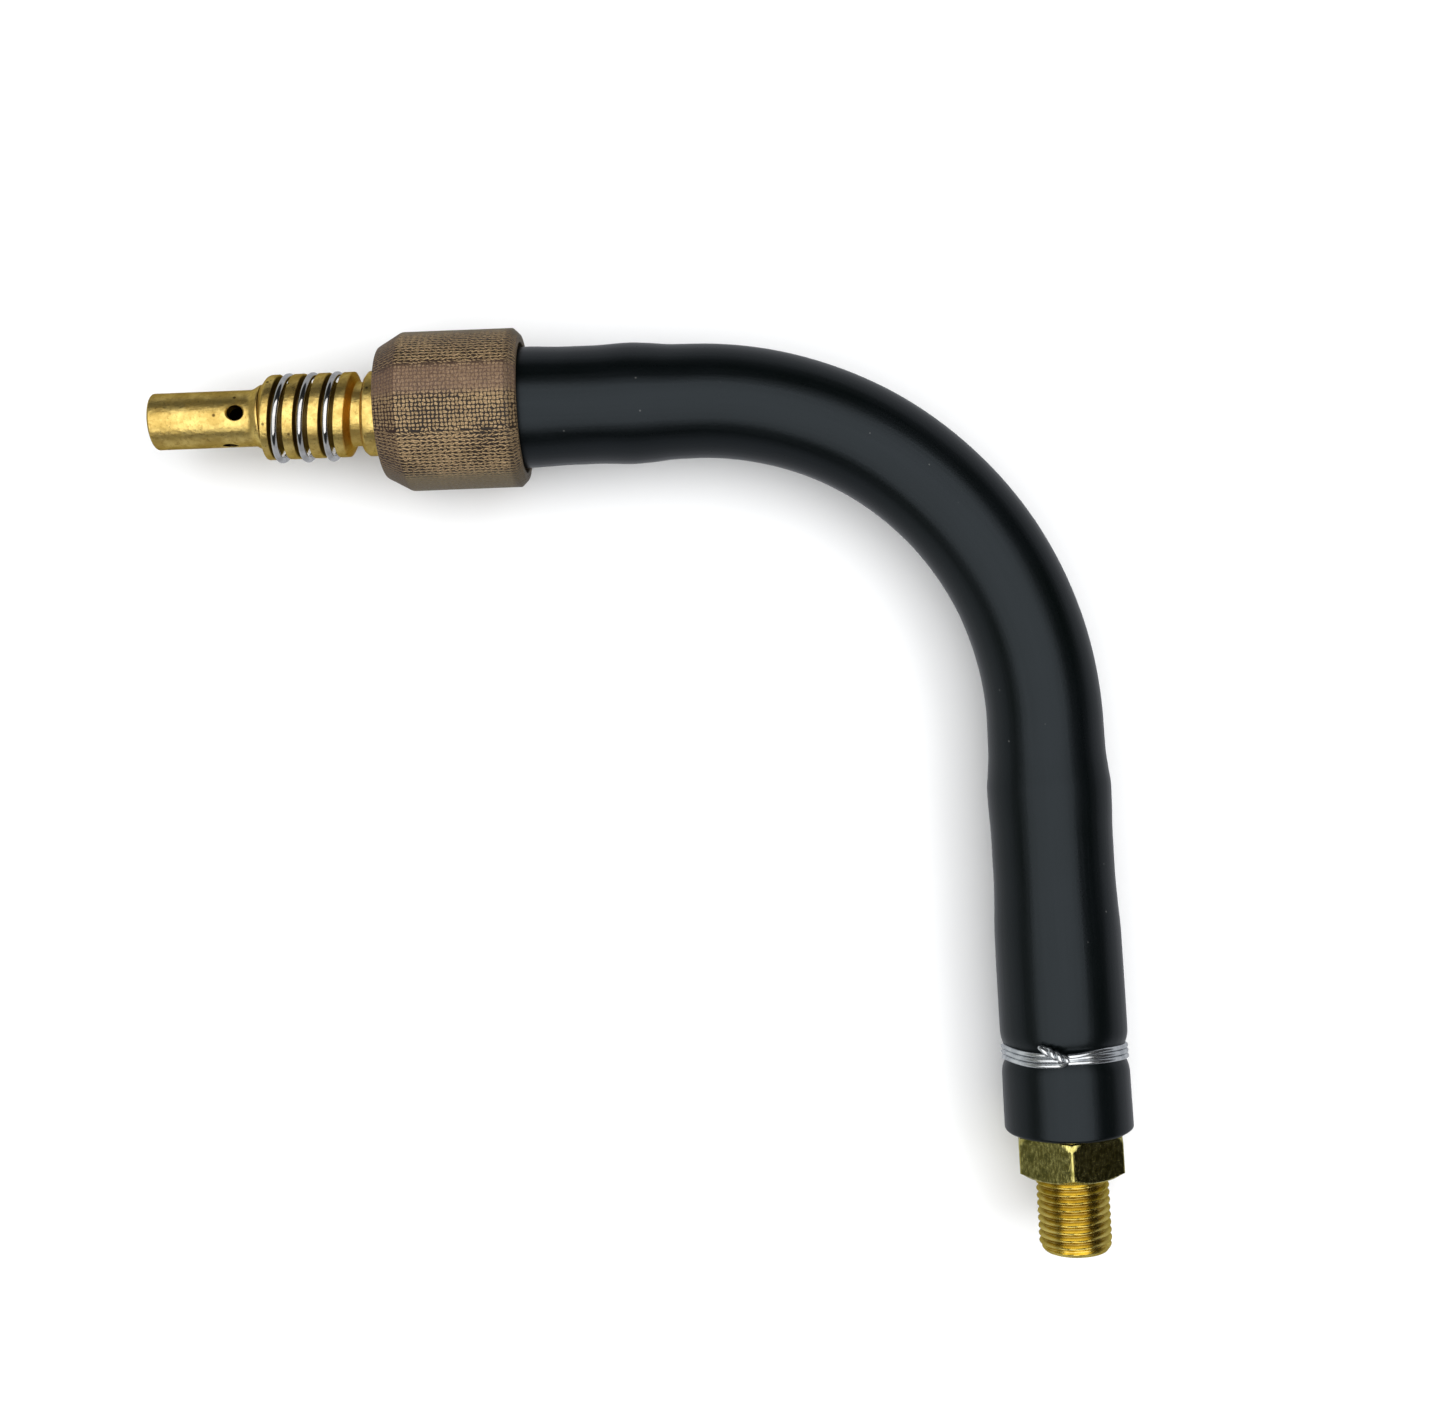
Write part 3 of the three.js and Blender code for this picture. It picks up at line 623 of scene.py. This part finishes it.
def swept(path, radius, place, sides):
    """A round wire along a path of points in a place's millimetres, its ends rounded over a little."""
    points = [Vector(point) for point in path]
    last = len(points) - 1
    tangents = []
    for i in range(len(points)):
        tangents.append((points[min(i + 1, last)] - points[max(i - 1, 0)]).normalized())
    side = tangents[0].orthogonal().normalized()
    build = bmesh.new()
    rows = []
    lengths = []
    travelled = 0
    for i, (point, tangent) in enumerate(zip(points, tangents)):
        side = (side - tangent * side.dot(tangent)).normalized()
        other = tangent.cross(side)
        if i:
            travelled += (point - points[i - 1]).length
        rings = [(0, 1)]
        if i == 0:
            rings = [(-push, size) for push, size in WIRE_END] + rings
        if i == last:
            rings += reversed(WIRE_END)
        for push, size in rings:
            middle = point + tangent * push * radius
            row = []
            for angle in once_round(sides):
                spoke = (side * cos(angle) + other * sin(angle)) * radius * size
                row.append(build.verts.new(place @ (middle + spoke)))
            rows.append(row)
            lengths.append(travelled + push * radius)
    layer = build.loops.layers.uv.new("length_and_girth")
    girth = 2 * pi * radius
    for i in range(len(rows) - 1):
        for k in range(sides):
            m = (k + 1) % sides
            face = build.faces.new((rows[i][k], rows[i][m], rows[i + 1][m], rows[i + 1][k]))
            corners = ((i, k), (i, k + 1), (i + 1, k + 1), (i + 1, k))
            for loop, (along, around) in zip(face.loops, corners):
                loop[layer].uv = (lengths[along], girth * around / sides)
    build.faces.new(rows[0][::-1])
    build.faces.new(rows[-1])
    bmesh.ops.recalc_face_normals(build, faces=build.faces)
    return mesh_of(build)


def joined(name, meshes, look):
    """Several meshes as one object."""
    build = bmesh.new()
    for mesh in meshes:
        build.from_mesh(mesh)
        bpy.data.meshes.remove(mesh)
    return finished(name, mesh_of(build), look)


def carve(piece, cutter):
    """Cuts one object out of another, and takes the cutter away."""
    modifier = piece.modifiers.new("carve", "BOOLEAN")
    modifier.operation = "DIFFERENCE"
    modifier.solver = "EXACT"
    modifier.object = cutter
    bpy.context.view_layer.update()
    graph = bpy.context.evaluated_depsgraph_get()
    result = bpy.data.meshes.new_from_object(piece.evaluated_get(graph))
    piece.modifiers.clear()
    piece.data = shaded(result)
    bpy.data.objects.remove(cutter)


def settle(piece, body, node):
    """Puts a finished piece on its body, in place of its CAD node."""
    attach(piece, body)
    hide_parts(node)


# ---- front leg: tip holder, head, rings, cap ----
def tip_holder():
    """The barrel, its flange and spigot, and the contact tip's threaded socket."""
    rear = HEAD_FACE + CLEARANCE / 2
    socket_floor = TIP_FACE - TIP_SOCKET_DEPTH
    outline = softened(
        [
            (SPIGOT_RADIUS - 0.4, rear - SPIGOT_LENGTH),
            (SPIGOT_RADIUS, rear - SPIGOT_LENGTH + 0.4),
            (SPIGOT_RADIUS, rear),
            (TIP_FLANGE_RADIUS, rear, 0.1),
            (TIP_FLANGE_RADIUS, rear + 0.3, 0.25),
            (BARREL_RADIUS + 0.15, rear + 1.5, 0.6),
            (BARREL_RADIUS, rear + 2, 0.5),
            (BARREL_RADIUS, TIP_FACE - 0.3, 0.15),
            (BARREL_RADIUS - 0.3, TIP_FACE, 0.15),
            (TIP_SOCKET_RADIUS + TIP_THREAD_DEPTH, TIP_FACE),
        ],
        0.1,
    )
    steps = int(TIP_SOCKET_DEPTH / 0.2)
    for step in range(steps + 1):
        station = TIP_FACE - TIP_THREAD_DEPTH - step * (TIP_SOCKET_DEPTH - 0.4) / steps
        outline.append(Vector((TIP_SOCKET_RADIUS, station)))
    outline += [Vector((GAS_WAY_RADIUS, socket_floor)), Vector((GAS_WAY_RADIUS, rear - SPIGOT_LENGTH))]

    def reshape(radius, station, angle):
        """A right-hand thread in the socket's wall, which fades out over its last turn at each end."""
        if radius != TIP_SOCKET_RADIUS:
            return radius, station
        fade = min(max(station - socket_floor - 1, 0), max(TIP_FACE - station, 0), 1)
        wave = (1 - cos(2 * pi * station / TIP_THREAD_PITCH - angle)) / 2
        return radius + TIP_THREAD_DEPTH * wave * fade, station

    place = FRONT_LEG @ Matrix.Rotation(TIP_TURN, 4, "Y")
    piece = finished("tip_holder_fine", turned(outline, place, BARREL_RADIUS, 128, reshape), "brass")
    for station, turn in ((GAS_HOLES, 0), (LEVEL_GAS_HOLES, pi / 2)):
        crosswise = place @ Matrix.Translation((0, station, 0)) @ Matrix.Rotation(turn, 4, "Y")
        carve(piece, drill(crosswise))
    settle(piece, "tip", "tip_holder")


def drill(place):
    """A drill right through the barrel along Z, with a small countersink at each end."""
    half = 1.2 * BARREL_RADIUS
    sink = sqrt(BARREL_RADIUS**2 - GAS_HOLE_RADIUS**2) - GAS_HOLE_RIM
    wide = GAS_HOLE_RADIUS + half - sink
    sides = 32
    build = bmesh.new()
    ends = [build.verts.new(place @ Vector((0, 0, height))) for height in (-half, half)]
    rows = []
    for radius, height in ((wide, -half), (GAS_HOLE_RADIUS, -sink), (GAS_HOLE_RADIUS, sink), (wide, half)):
        row = []
        for angle in once_round(sides):
            corner = Vector((radius * cos(angle), radius * sin(angle), height))
            row.append(build.verts.new(place @ corner))
        rows.append(row)
    for k in range(sides):
        m = (k + 1) % sides
        build.faces.new((ends[0], rows[0][m], rows[0][k]))
        build.faces.new((ends[1], rows[-1][k], rows[-1][m]))
        for low, high in zip(rows, rows[1:]):
            build.faces.new((low[k], low[m], high[m], high[k]))
    bmesh.ops.recalc_face_normals(build, faces=build.faces)
    return added("drill", mesh_of(build))


def head_body():
    """The nozzle head, from its rear socket on the tube to its front face."""
    o_ring_floor = O_RING_RADIUS - O_RING_SECTION - 0.2
    outline = [
        (SOCKET_RADIUS, HEAD_REAR),
        (FERRULE_RADIUS, HEAD_REAR),
        (FERRULE_RADIUS, JACKET_FRONT + CLEARANCE),
        (FLANGE_RADIUS, JACKET_FRONT + CLEARANCE),
        (FLANGE_RADIUS, JACKET_FRONT + FLANGE_THICKNESS),
        (LAND_RADIUS, JACKET_FRONT + FLANGE_THICKNESS),
        (LAND_RADIUS, O_RING_STATION - O_RING_GROOVE / 2),
        (o_ring_floor, O_RING_STATION - O_RING_GROOVE / 2),
        (o_ring_floor, O_RING_STATION + O_RING_GROOVE / 2),
        (LAND_RADIUS, O_RING_STATION + O_RING_GROOVE / 2),
        (LAND_RADIUS, COLLAR),
        (LAND_RADIUS - COLLAR_CHAMFER, COLLAR + COLLAR_CHAMFER),
        (NECK_RADIUS, COLLAR + COLLAR_CHAMFER, 0.05),
        (NECK_RADIUS, NECK_FRONT, 0.25),
        (NECK_RADIUS + 0.6, NECK_FRONT + 0.15),
        (LAND_RADIUS, NECK_FRONT + 0.75, 0.12),
    ]
    for i in reversed(range(len(RINGS))):
        middle = FIRST_GROOVE - i * RING_PITCH
        outline += [
            (LAND_RADIUS, middle - GROOVE_WIDTH / 2, 0.13),
            (GROOVE_RADIUS, middle - GROOVE_WIDTH / 2, 0.3),
            (GROOVE_RADIUS, middle + GROOVE_WIDTH / 2, 0.3),
            (LAND_RADIUS, middle + GROOVE_WIDTH / 2, 0.13),
        ]
    recess_radius, recess_depth = WASHER_RECESS
    seat = HEAD_FACE - recess_depth
    spigot_end = HEAD_FACE - SPIGOT_LENGTH - SPIGOT_ROOM
    outline += [
        (LAND_RADIUS, HEAD_FACE - 0.8, 0.35),
        (TIP_FLANGE_RADIUS, HEAD_FACE, 0.15),
        (recess_radius, HEAD_FACE, 0.05),
        (recess_radius, seat),
        (SPIGOT_RADIUS + CLEARANCE, seat),
        (SPIGOT_RADIUS + CLEARANCE, spigot_end),
        (HEAD_GAS_WAY_RADIUS, spigot_end),
        (HEAD_GAS_WAY_RADIUS, SOCKET_FRONT),
        (SOCKET_RADIUS, SOCKET_FRONT),
    ]

    def leaned(radius, station, angle):
        """The outside leans from the collar to the front land, and the bore stays straight."""
        if radius <= HEAD_BORE_LIMIT:
            return radius, station
        lean = min((station - CAP_FACE) / (NECK_FRONT - CAP_FACE), HEAD_FACE - station, 1)
        return radius, station - radius * sin(angle) * tan(GROOVE_TILT) * max(lean, 0)

    mesh = turned(softened(outline, 0.1), FRONT_LEG, LAND_RADIUS, 160, leaned)
    settle(finished("head_body_fine", mesh, "brass"), "neck", "head_body")


def spring_rings():
    """The three loose rings, split underneath."""
    steps = 110
    path = []
    for step in range(steps + 1):
        angle = RING_GAP / 2 + step / steps * (2 * pi - RING_GAP)
        path.append((RING_RADIUS * sin(angle), 0, -RING_RADIUS * cos(angle)))
    for i, (node, body, shift, tilt) in enumerate(RINGS):
        station = FIRST_GROOVE - i * RING_PITCH + shift
        place = FRONT_LEG @ Matrix.Translation((-RING_DROP, station, 0)) @ Matrix.Rotation(-tilt, 4, "Z")
        piece = finished(node + "_fine", swept(path, RING_WIRE_RADIUS, place, 20), "spring_steel")
        settle(piece, body, node)


def insulator_cap():
    """The turned cap, with a web round the collar and a wider bore over the jacket."""
    length = CAP_FACE - CAP_REAR
    chamfer_in, chamfer_back = CAP_FRONT_CHAMFER
    outline = softened(
        [
            (CAP_RADIUS - CAP_REAR_CHAMFER, 0, 0.15),
            (CAP_RADIUS, CAP_REAR_CHAMFER, 0.2),
            (CAP_RADIUS, length - chamfer_back, 0.35),
            (CAP_RADIUS - chamfer_in, length, 0.35),
            (CAP_BORE_RADIUS, length, 0.25),
            (CAP_BORE_RADIUS, length - CAP_WEB, 0.2),
            (CAP_REAR_BORE_RADIUS, length - CAP_WEB, 0.3),
            (CAP_REAR_BORE_RADIUS, 0, 0.25),
        ],
        0.2,
    )
    mesh = turned(outline, FRONT_LEG @ Matrix.Translation((0, CAP_REAR, 0)), CAP_RADIUS, 192)
    settle(finished("insulator_cap_fine", mesh, "phenolic"), "cap", "insulator_cap")


def o_ring():
    outline = []
    for angle in once_round(20):
        radius = O_RING_RADIUS + O_RING_SECTION * cos(angle)
        outline.append(Vector((radius, O_RING_STATION + O_RING_SECTION * sin(angle))))
    mesh = turned(outline, FRONT_LEG, O_RING_RADIUS, 96)
    settle(finished("cap_o_ring_fine", mesh, "seal_rubber"), "neck", "cap_o_ring")


# ---- rubber jacket ----
def on_front(station):
    return TANGENT - station


def on_rear(station):
    return BEND_LENGTH + station - TANGENT


def centreline(length):
    """The point, and the direction towards the inside of the bend, at a length from where
    the front leg meets the bend."""
    turn = min(max(length / BEND_RADIUS, 0), BEND_ANGLE)
    along = Vector((cos(turn), -sin(turn), 0))
    inward = Vector((-sin(turn), -cos(turn), 0))
    beyond = length - turn * BEND_RADIUS
    point = Vector((-TANGENT, -BEND_RADIUS, 0)) - inward * BEND_RADIUS + along * beyond
    return point, inward


# The jacket's outer radius at lengths along the centreline: it bulges over the ferrules and the barbs.
FRONT_RADII = ((105, 10.7), (89, 10.7), (82, 10.44), (77, 10.42), (70.5, 10.69), (67, 10.5), (63, 10.14))
BEND_RADII = ((0, 10.09), (BEND_LENGTH / 2, 9.92), (BEND_LENGTH, 10.22))
REAR_RADII = (
    (65, 10.3), (68.5, 10.6), (71.5, 10.9), (75, 10.85), (80, 10.68), (87, 10.68),
    (92, 10.85), (98, 11.13), (114, 11.2), (124, 11.26), (132.9, 11.34),
)
JACKET_RADII = [(on_front(station), radius) for station, radius in FRONT_RADII]
JACKET_RADII += BEND_RADII
JACKET_RADII += [(on_rear(station), radius) for station, radius in REAR_RADII]


def eased(table, at):
    """A smooth curve through a table of (place, value) pairs, that never overshoots them."""
    if at <= table[0][0]:
        return table[0][1]
    for i, ((low, first), (high, second)) in enumerate(zip(table, table[1:])):
        if at <= high:
            break
    else:
        return table[-1][1]

    def slope(k):
        if k in (0, len(table) - 1):
            return 0
        before = (table[k][1] - table[k - 1][1]) / (table[k][0] - table[k - 1][0])
        after = (table[k + 1][1] - table[k][1]) / (table[k + 1][0] - table[k][0])
        return 0 if before * after <= 0 else 2 * before * after / (before + after)

    span = high - low
    f = (at - low) / span
    return ((1 + 2 * f) * (1 - f) ** 2 * first + f * f * (3 - 2 * f) * second
            + f * (1 - f) ** 2 * span * slope(i) - f * f * (1 - f) * span * slope(i + 1))


def jacket_radius(length, angle):
    """The outer radius, with the waist under the tilted tie wire and a slight hand-fitted unevenness."""
    waist = on_rear(TIE - tan(TIE_TILT) * TIE_RADIUS * cos(angle))
    waist -= WAIST_RISE * max(0, sin(angle)) ** 4
    sink = TIE_SINK * exp(-(((length - waist) / TIE_SINK_REACH) ** 2))
    bumps = noise.noise(Vector((length / 14, 1.3 * cos(angle), 1.3 * sin(angle))))
    return eased(JACKET_RADII, length) - sink + 0.05 * bumps


def rubber_jacket():
    """The hose, in rows round the centreline: its skin, its rear end, its bore and its front end."""
    start = on_front(JACKET_FRONT)
    end = on_rear(JACKET_REAR)
    over_sleeve = SLEEVE_RADIUS + CLEARANCE
    over_barbs = BARB_RADIUS + CLEARANCE
    over_ferrule = REAR_FERRULE_RADIUS + CLEARANCE
    inner = (
        (start, FERRULE_RADIUS + CLEARANCE),
        (on_front(FERRULE_REAR + 8), FERRULE_RADIUS + CLEARANCE),
        (on_front(FERRULE_REAR + 6.5), FERRULE_BEAD_RADIUS + CLEARANCE),
        (on_front(FERRULE_REAR - 0.5), FERRULE_BEAD_RADIUS + CLEARANCE),
        (on_front(FERRULE_REAR - 2), over_sleeve),
        (on_rear(REAR_FERRULE[0] - 1.5), over_sleeve),
        (on_rear(REAR_FERRULE[0] - 0.4), over_ferrule),
        (on_rear(REAR_FERRULE[1] - 1.5), over_ferrule),
        (on_rear(REAR_FERRULE[1]), over_barbs),
        (end, over_barbs),
    )
    lip = 0.75  # rounding of the cut ends
    lip_steps = 8
    rounding = []
    for i in range(1, lip_steps + 1):
        turn = pi / 2 * i / lip_steps
        rounding.append((lip * (1 - sin(turn)), lip * (1 - cos(turn))))
    skin_steps = 400
    bore_steps = 120
    face_steps = 3
    skin = end - start - 2 * lip
    profile = [("skin", start + lip + skin * i / skin_steps, 0) for i in range(skin_steps + 1)]
    profile += [("skin", end - back, sunk) for back, sunk in rounding]
    profile += [("face", end, i / face_steps) for i in range(face_steps + 1)]
    profile += [("bore", end + (start - end) * i / bore_steps, 0) for i in range(bore_steps + 1)]
    profile += [("face", start, 1 - i / face_steps) for i in range(face_steps + 1)]
    profile += [("skin", start + back, sunk) for back, sunk in reversed(rounding)]
    to_frame = Matrix.Translation(CORNER) @ Matrix.Scale(MM, 4)
    rows = []
    for kind, length, amount in profile:
        point, inward = centreline(length)
        along = centreline(length + 1)[0] - point
        hole = eased(inner, length)
        near_end = max(0, 1 - (end - length) / 3)
        row = []
        for angle in once_round(144):
            outer = jacket_radius(length, angle)
            if kind == "skin":
                radius = outer - amount
            elif kind == "bore":
                radius = hole
            else:
                radius = hole + 0.2 + (outer - lip - hole - 0.4) * (1 - amount)
            uneven = noise.noise(Vector((2.2 * cos(angle), 2.2 * sin(angle), 7)))
            uneven -= max(0, cos(angle))  # the rear end is cut a little short on top
            middle = point + along * (CUT_UNEVENNESS * uneven * near_end)
            up = Vector((0, 0, radius * cos(angle)))
            row.append(to_frame @ (middle + inward * radius * sin(angle) + up))
        rows.append(row)
    spacing = [length for _, length, _ in profile]
    spacing.append(spacing[0])
    mesh = grid_mesh(rows, spacing, 2 * pi * JACKET_RADIUS)
    settle(finished("rubber_jacket_fine", mesh, "jacket_rubber"), "neck", "rubber_jacket")


# ---- tie wire ----
def on_tie(angle, height, radius):
    """A point round the tie: angle from the top towards the inside of the bend, in radians, and height
    along the leg, towards the connector."""
    return Vector((radius * sin(angle), height, radius * cos(angle)))


def tie_strands():
    """The wire's turns: three lie side by side, and crowd together as they reach the knot."""
    meshes = []
    steps = 180
    for strand in (-1, 0, 1):
        path = []
        for step in range(steps + 1):
            away = BAND_START + BAND_SWEEP * (1 - step / steps)  # degrees back from the knot
            near = 1 - smooth(away, 2, 42)
            far = smooth(away, 300, 340)
            rise = BAND_RISE * exp(-(((away - 282) / 26) ** 2))
            height = strand * WIRE_PITCH * (1 - 0.14 * near) + 0.35 * far + 0.1 * near - rise
            lift = 0
            if strand == -1:  # this turn rides up beside the next one at the knot
                height += 0.42 * near
                lift = 0.32 * near
            path.append(on_tie(KNOT_ANGLE - radians(away), height, TIE_RADIUS + lift))
        if strand == 1:
            path = lead_in() + path
        meshes.append(swept(path, WIRE_RADIUS, TIE_FRAME, 16))
    return meshes


def lead_in():
    """The lowest turn's own end, written from the twist back to where the band starts."""
    gap = 360 - BAND_SWEEP - BAND_START
    steps = 9
    path = []
    for step in range(steps, 0, -1):
        f = step / steps
        angle = KNOT_ANGLE + radians(gap * (1 - f))
        path.append(on_tie(angle, WIRE_PITCH + 0.35 - 0.9 * f**3, TIE_RADIUS + 0.85 * f**2))
    return path


def twisted_ends():
    """The two ends, twisted together and laid back over the band, then cut off."""
    meshes = []
    steps = 60
    for phase, extent in ((0, 1.0), (pi, 0.97)):
        path = []
        for step in range(steps + 1):
            f = extent * step / steps
            loose = smooth(f, 0.82, 1)  # near their cut ends the two wires spring apart
            angle = KNOT_ANGLE + radians(-0.5 + TWIST_SWEEP * f + (3 * loose if phase else 0))
            height = 0.42 - TWIST_REACH * f - (0 if phase else 0.55 * loose)
            middle = on_tie(angle, height, TIE_RADIUS + TWIST_LIFT + 0.1 * sin(pi * f))
            along = Vector((cos(angle), -0.55, -sin(angle))).normalized()
            out = Vector((sin(angle), 0, cos(angle)))
            out = (out - along * out.dot(along)).normalized()
            side = along.cross(out)
            twist = phase + 2 * pi * TWIST_TURNS * f
            path.append(middle + (out * cos(twist) + side * sin(twist)) * TWIST_CORE)
        meshes.append(swept(path, WIRE_RADIUS * 0.96, TIE_FRAME, 16))
    return meshes


def binding_wire():
    piece = joined("binding_wire_fine", tie_strands() + twisted_ends(), "galvanised_wire")
    settle(piece, "neck", "binding_wire")


# ---- rear connector ----
def hex_section():
    """The hexagon's outline, from +Z towards +X, with a short arc at each corner."""
    centre = (HEX_ACROSS_FLATS - 2 * HEX_EDGE) / sqrt(3)

    def on_edge(side, degrees):
        turn = HEX_TURN + side * pi / 3
        swing = radians(degrees)
        x = centre + HEX_EDGE * cos(swing)
        y = HEX_EDGE * sin(swing)
        return Vector((x * cos(turn) - y * sin(turn), x * sin(turn) + y * cos(turn)))

    section = []
    for side in range(6):
        section += [on_edge(side, degrees) for degrees in range(-30, 31, 10)]
        section += [on_edge(side, 30).lerp(on_edge(side + 1, -30), step / 10) for step in range(1, 10)]
    return section


def hex_nut():
    """The hexagon: its corners cut by a cone at the thread's side, and rounded off at the jacket's."""
    section = hex_section()
    corner = HEX_ACROSS_FLATS / sqrt(3)
    face = HEX_ACROSS_FLATS / 2 - 0.05
    slope = tan(radians(30))
    length = HEX_FACE - HEX
    rise = 0.12  # of the small step where the cone meets the flat face
    swell = 2.4  # the jacket's side of each corner is rounded off over this length
    shoulder = corner - 0.7
    stations = [swell * (1 - cos(pi / 2 * i / 20)) for i in range(21)]
    stations += [length - rise - (corner - face) * slope * i / 12 for i in range(12, 0, -1)]
    stations += [length - rise, length - rise / 3, length]

    def limit(station):
        near = length - station
        if station < swell:
            return shoulder + (corner - shoulder) * sqrt(1 - (1 - station / swell) ** 2)
        if near < rise:
            return face - (rise - near) * 0.6
        return face + (near - rise) / slope

    bore = CONNECTOR_BORE_RADIUS - 0.5
    profile = [(bore, 0), *[(None, station) for station in stations], (bore, length)]
    rows = []
    for own, station in profile:
        row = []
        for z, x in section:
            radius = hypot(x, z)
            r = own if own else min(radius, limit(station))
            row.append(REAR_LEG @ Vector((x / radius * r, HEX + station, z / radius * r)))
        rows.append(row)
    spacing = [station for _, station in profile]
    spacing.append(2 * length)
    return grid_mesh(rows, spacing, 6 * corner)


def thread_and_nose():
    """The pipe thread outside, its nose chamfer, and the bore."""
    start = HEX_FACE - 0.6
    steps = int((NOSE - start) / 0.09)
    outer = [Vector((THREAD_RADIUS, start + (NOSE - start) * i / steps)) for i in range(steps + 1)]
    bore = [Vector((CONNECTOR_BORE_RADIUS + 0.5, NOSE))]
    for station in (NOSE - 0.5, (NOSE + start) / 2, start):
        bore.append(Vector((CONNECTOR_BORE_RADIUS, station)))

    def reshape(radius, station, angle):
        if radius < NOSE_RADIUS:
            return radius, station
        if station < HEX_FACE + THREAD_COLLAR[1]:
            return THREAD_COLLAR[0], station
        wave = 1 - abs(2 * ((station / THREAD_PITCH - angle / (2 * pi)) % 1) - 1)
        wave = min(max(1.25 * wave - 0.12, 0), 1)
        fade = smooth(station, HEX_FACE - 0.1, HEX_FACE + 0.5)
        cut = radius - THREAD_DEPTH * (0.15 + 0.85 * wave) * fade - 0.05
        nose = NOSE_RADIUS + (THREAD_RADIUS - NOSE_RADIUS) * (NOSE - station) / NOSE_CHAMFER
        return min(cut, nose), station

    return turned(outer + bore, REAR_LEG, THREAD_RADIUS, 128, reshape)


def shank():
    """The barbed shank inside the jacket."""
    outline = [(SOCKET_RADIUS, SHANK)]
    for i in range(BARBS):
        start = SHANK + i * BARB_LENGTH
        outline += [(SHANK_RADIUS, start), (BARB_RADIUS, start + BARB_LENGTH - 0.2)]
    end = SHANK + BARBS * BARB_LENGTH
    outline += [
        (SHANK_RADIUS, end),
        (SHANK_RADIUS, TIE + 5),
        (BARB_RADIUS, TIE + 5.3),
        (BARB_RADIUS, HEX + 0.2),
        (CONNECTOR_BORE_RADIUS, HEX + 0.2),
        (CONNECTOR_BORE_RADIUS, SOCKET_REAR),
        (SOCKET_RADIUS, SOCKET_REAR),
    ]
    return turned(softened(outline, 0.1), REAR_LEG, BARB_RADIUS, 96)


def rear_connector():
    piece = joined("rear_hexagon_fine", [hex_nut()], "polished_brass")
    settle(piece, "neck", "rear_connector")
    screw = joined("rear_thread_fine", [thread_and_nose(), shank()], "thread_brass")
    settle(screw, "neck", "rear_connector")


tip_holder()
head_body()
spring_rings()
insulator_cap()
o_ring()
rubber_jacket()
binding_wire()
rear_connector()

# ---- the CAD pieces that stay: hidden inside, or seen only through an opening ----
KEPT = {
    "tip_washer": "copper",
    "front_braze_ring": "braze",
    "rear_braze_ring": "braze",
    "front_ferrule": "hidden_brass",
    "rear_ferrule": "hidden_brass",
    "liner_nipple": "hidden_brass",
    "conductor_tube": "copper",
    "insulating_sleeve": "glass_fibre",
    "wire_liner": "liner_steel",
}
for node, look in KEPT.items():
    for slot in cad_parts[node].material_slots:
        slot.material = LOOKS[look]


# ---- floor, light and surroundings ----
ROOM_TONES = ((0, 0.48), (0.05, 0.40), (0.14, 0.028), (0.7, 0.016), (0.9, 0.1), (1, 0.2))  # height, tone


def floor():
    """A round sheet under the neck, in wider and wider rings."""
    sides = 48
    build = bmesh.new()
    centre = build.verts.new((0, 0, 0))
    rings = []
    for reach in (0.3, 1.0, 3.0):
        ring = []
        for angle in once_round(sides):
            ring.append(build.verts.new((reach * cos(angle), reach * sin(angle), 0)))
        rings.append(ring)
    for k in range(sides):
        m = (k + 1) % sides
        build.faces.new((centre, rings[0][k], rings[0][m]))
        for near, far in zip(rings, rings[1:]):
            build.faces.new((near[k], far[k], far[m], near[m]))
    piece = added("floor", mesh_of(build))
    piece.data.materials.append(floor_look())
    piece.visible_glossy = False  # the pieces mirror the dimmer room instead of the bright sheet


def softbox(name, place, size, energy):
    """A large soft area light, which faces straight down until it is turned."""
    light = bpy.data.lights.new(name, "AREA")
    light.shape = "RECTANGLE"
    light.size, light.size_y = size
    light.energy = energy
    lamp = added(name, light)
    lamp.location = place
    lamp.visible_camera = False
    return lamp


def surroundings():
    """A dim room: pale low down, dark at middle heights, lighter overhead, with a glow on one side."""
    world = bpy.data.worlds.new("room")
    bpy.context.scene.world = world
    world.use_nodes = True
    nodes = world.node_tree.nodes
    link = world.node_tree.links.new
    background = nodes["Background"]
    coordinates = nodes.new("ShaderNodeTexCoord")
    split = nodes.new("ShaderNodeSeparateXYZ")
    ramp = nodes.new("ShaderNodeValToRGB")
    side = nodes.new("ShaderNodeMapRange")
    glow = nodes.new("ShaderNodeMix")
    link(coordinates.outputs["Generated"], split.inputs[0])
    link(split.outputs["Z"], ramp.inputs["Fac"])
    link(split.outputs["X"], side.inputs["Value"])
    side.inputs["From Min"].default_value = -0.4
    side.inputs["From Max"].default_value = -0.9
    elements = ramp.color_ramp.elements
    while len(elements) < len(ROOM_TONES):
        elements.new(0.5)
    for element, (height, tone) in zip(elements, ROOM_TONES):
        element.position = height
        element.color = (tone * 0.97, tone, tone * 1.06, 1)
    glow.data_type = "RGBA"
    glow.blend_type = "ADD"
    first, second = [socket for socket in glow.inputs if socket.type == "RGBA"]
    link(side.outputs[0], glow.inputs["Factor"])
    link(ramp.outputs["Color"], first)
    second.default_value = (0.13, 0.14, 0.12, 1)
    link(glow.outputs[2], background.inputs["Color"])


floor()
softbox("overhead", (-0.285, -0.22, 0.9), (1.97, 1.77), 17.5)
key = softbox("key", (1.0, 0.18, 0.95), (1.3, 1.3), 9)
key.rotation_euler = (-key.location).to_track_quat("-Z", "Y").to_euler()  # it faces the middle of the floor
key.visible_glossy = False
fill = softbox("fill", (0.15, 0.1, 0.9), (1.3, 1.3), 11)
fill.visible_glossy = False
surroundings()
bpy.context.scene.view_settings.view_transform = "Standard"
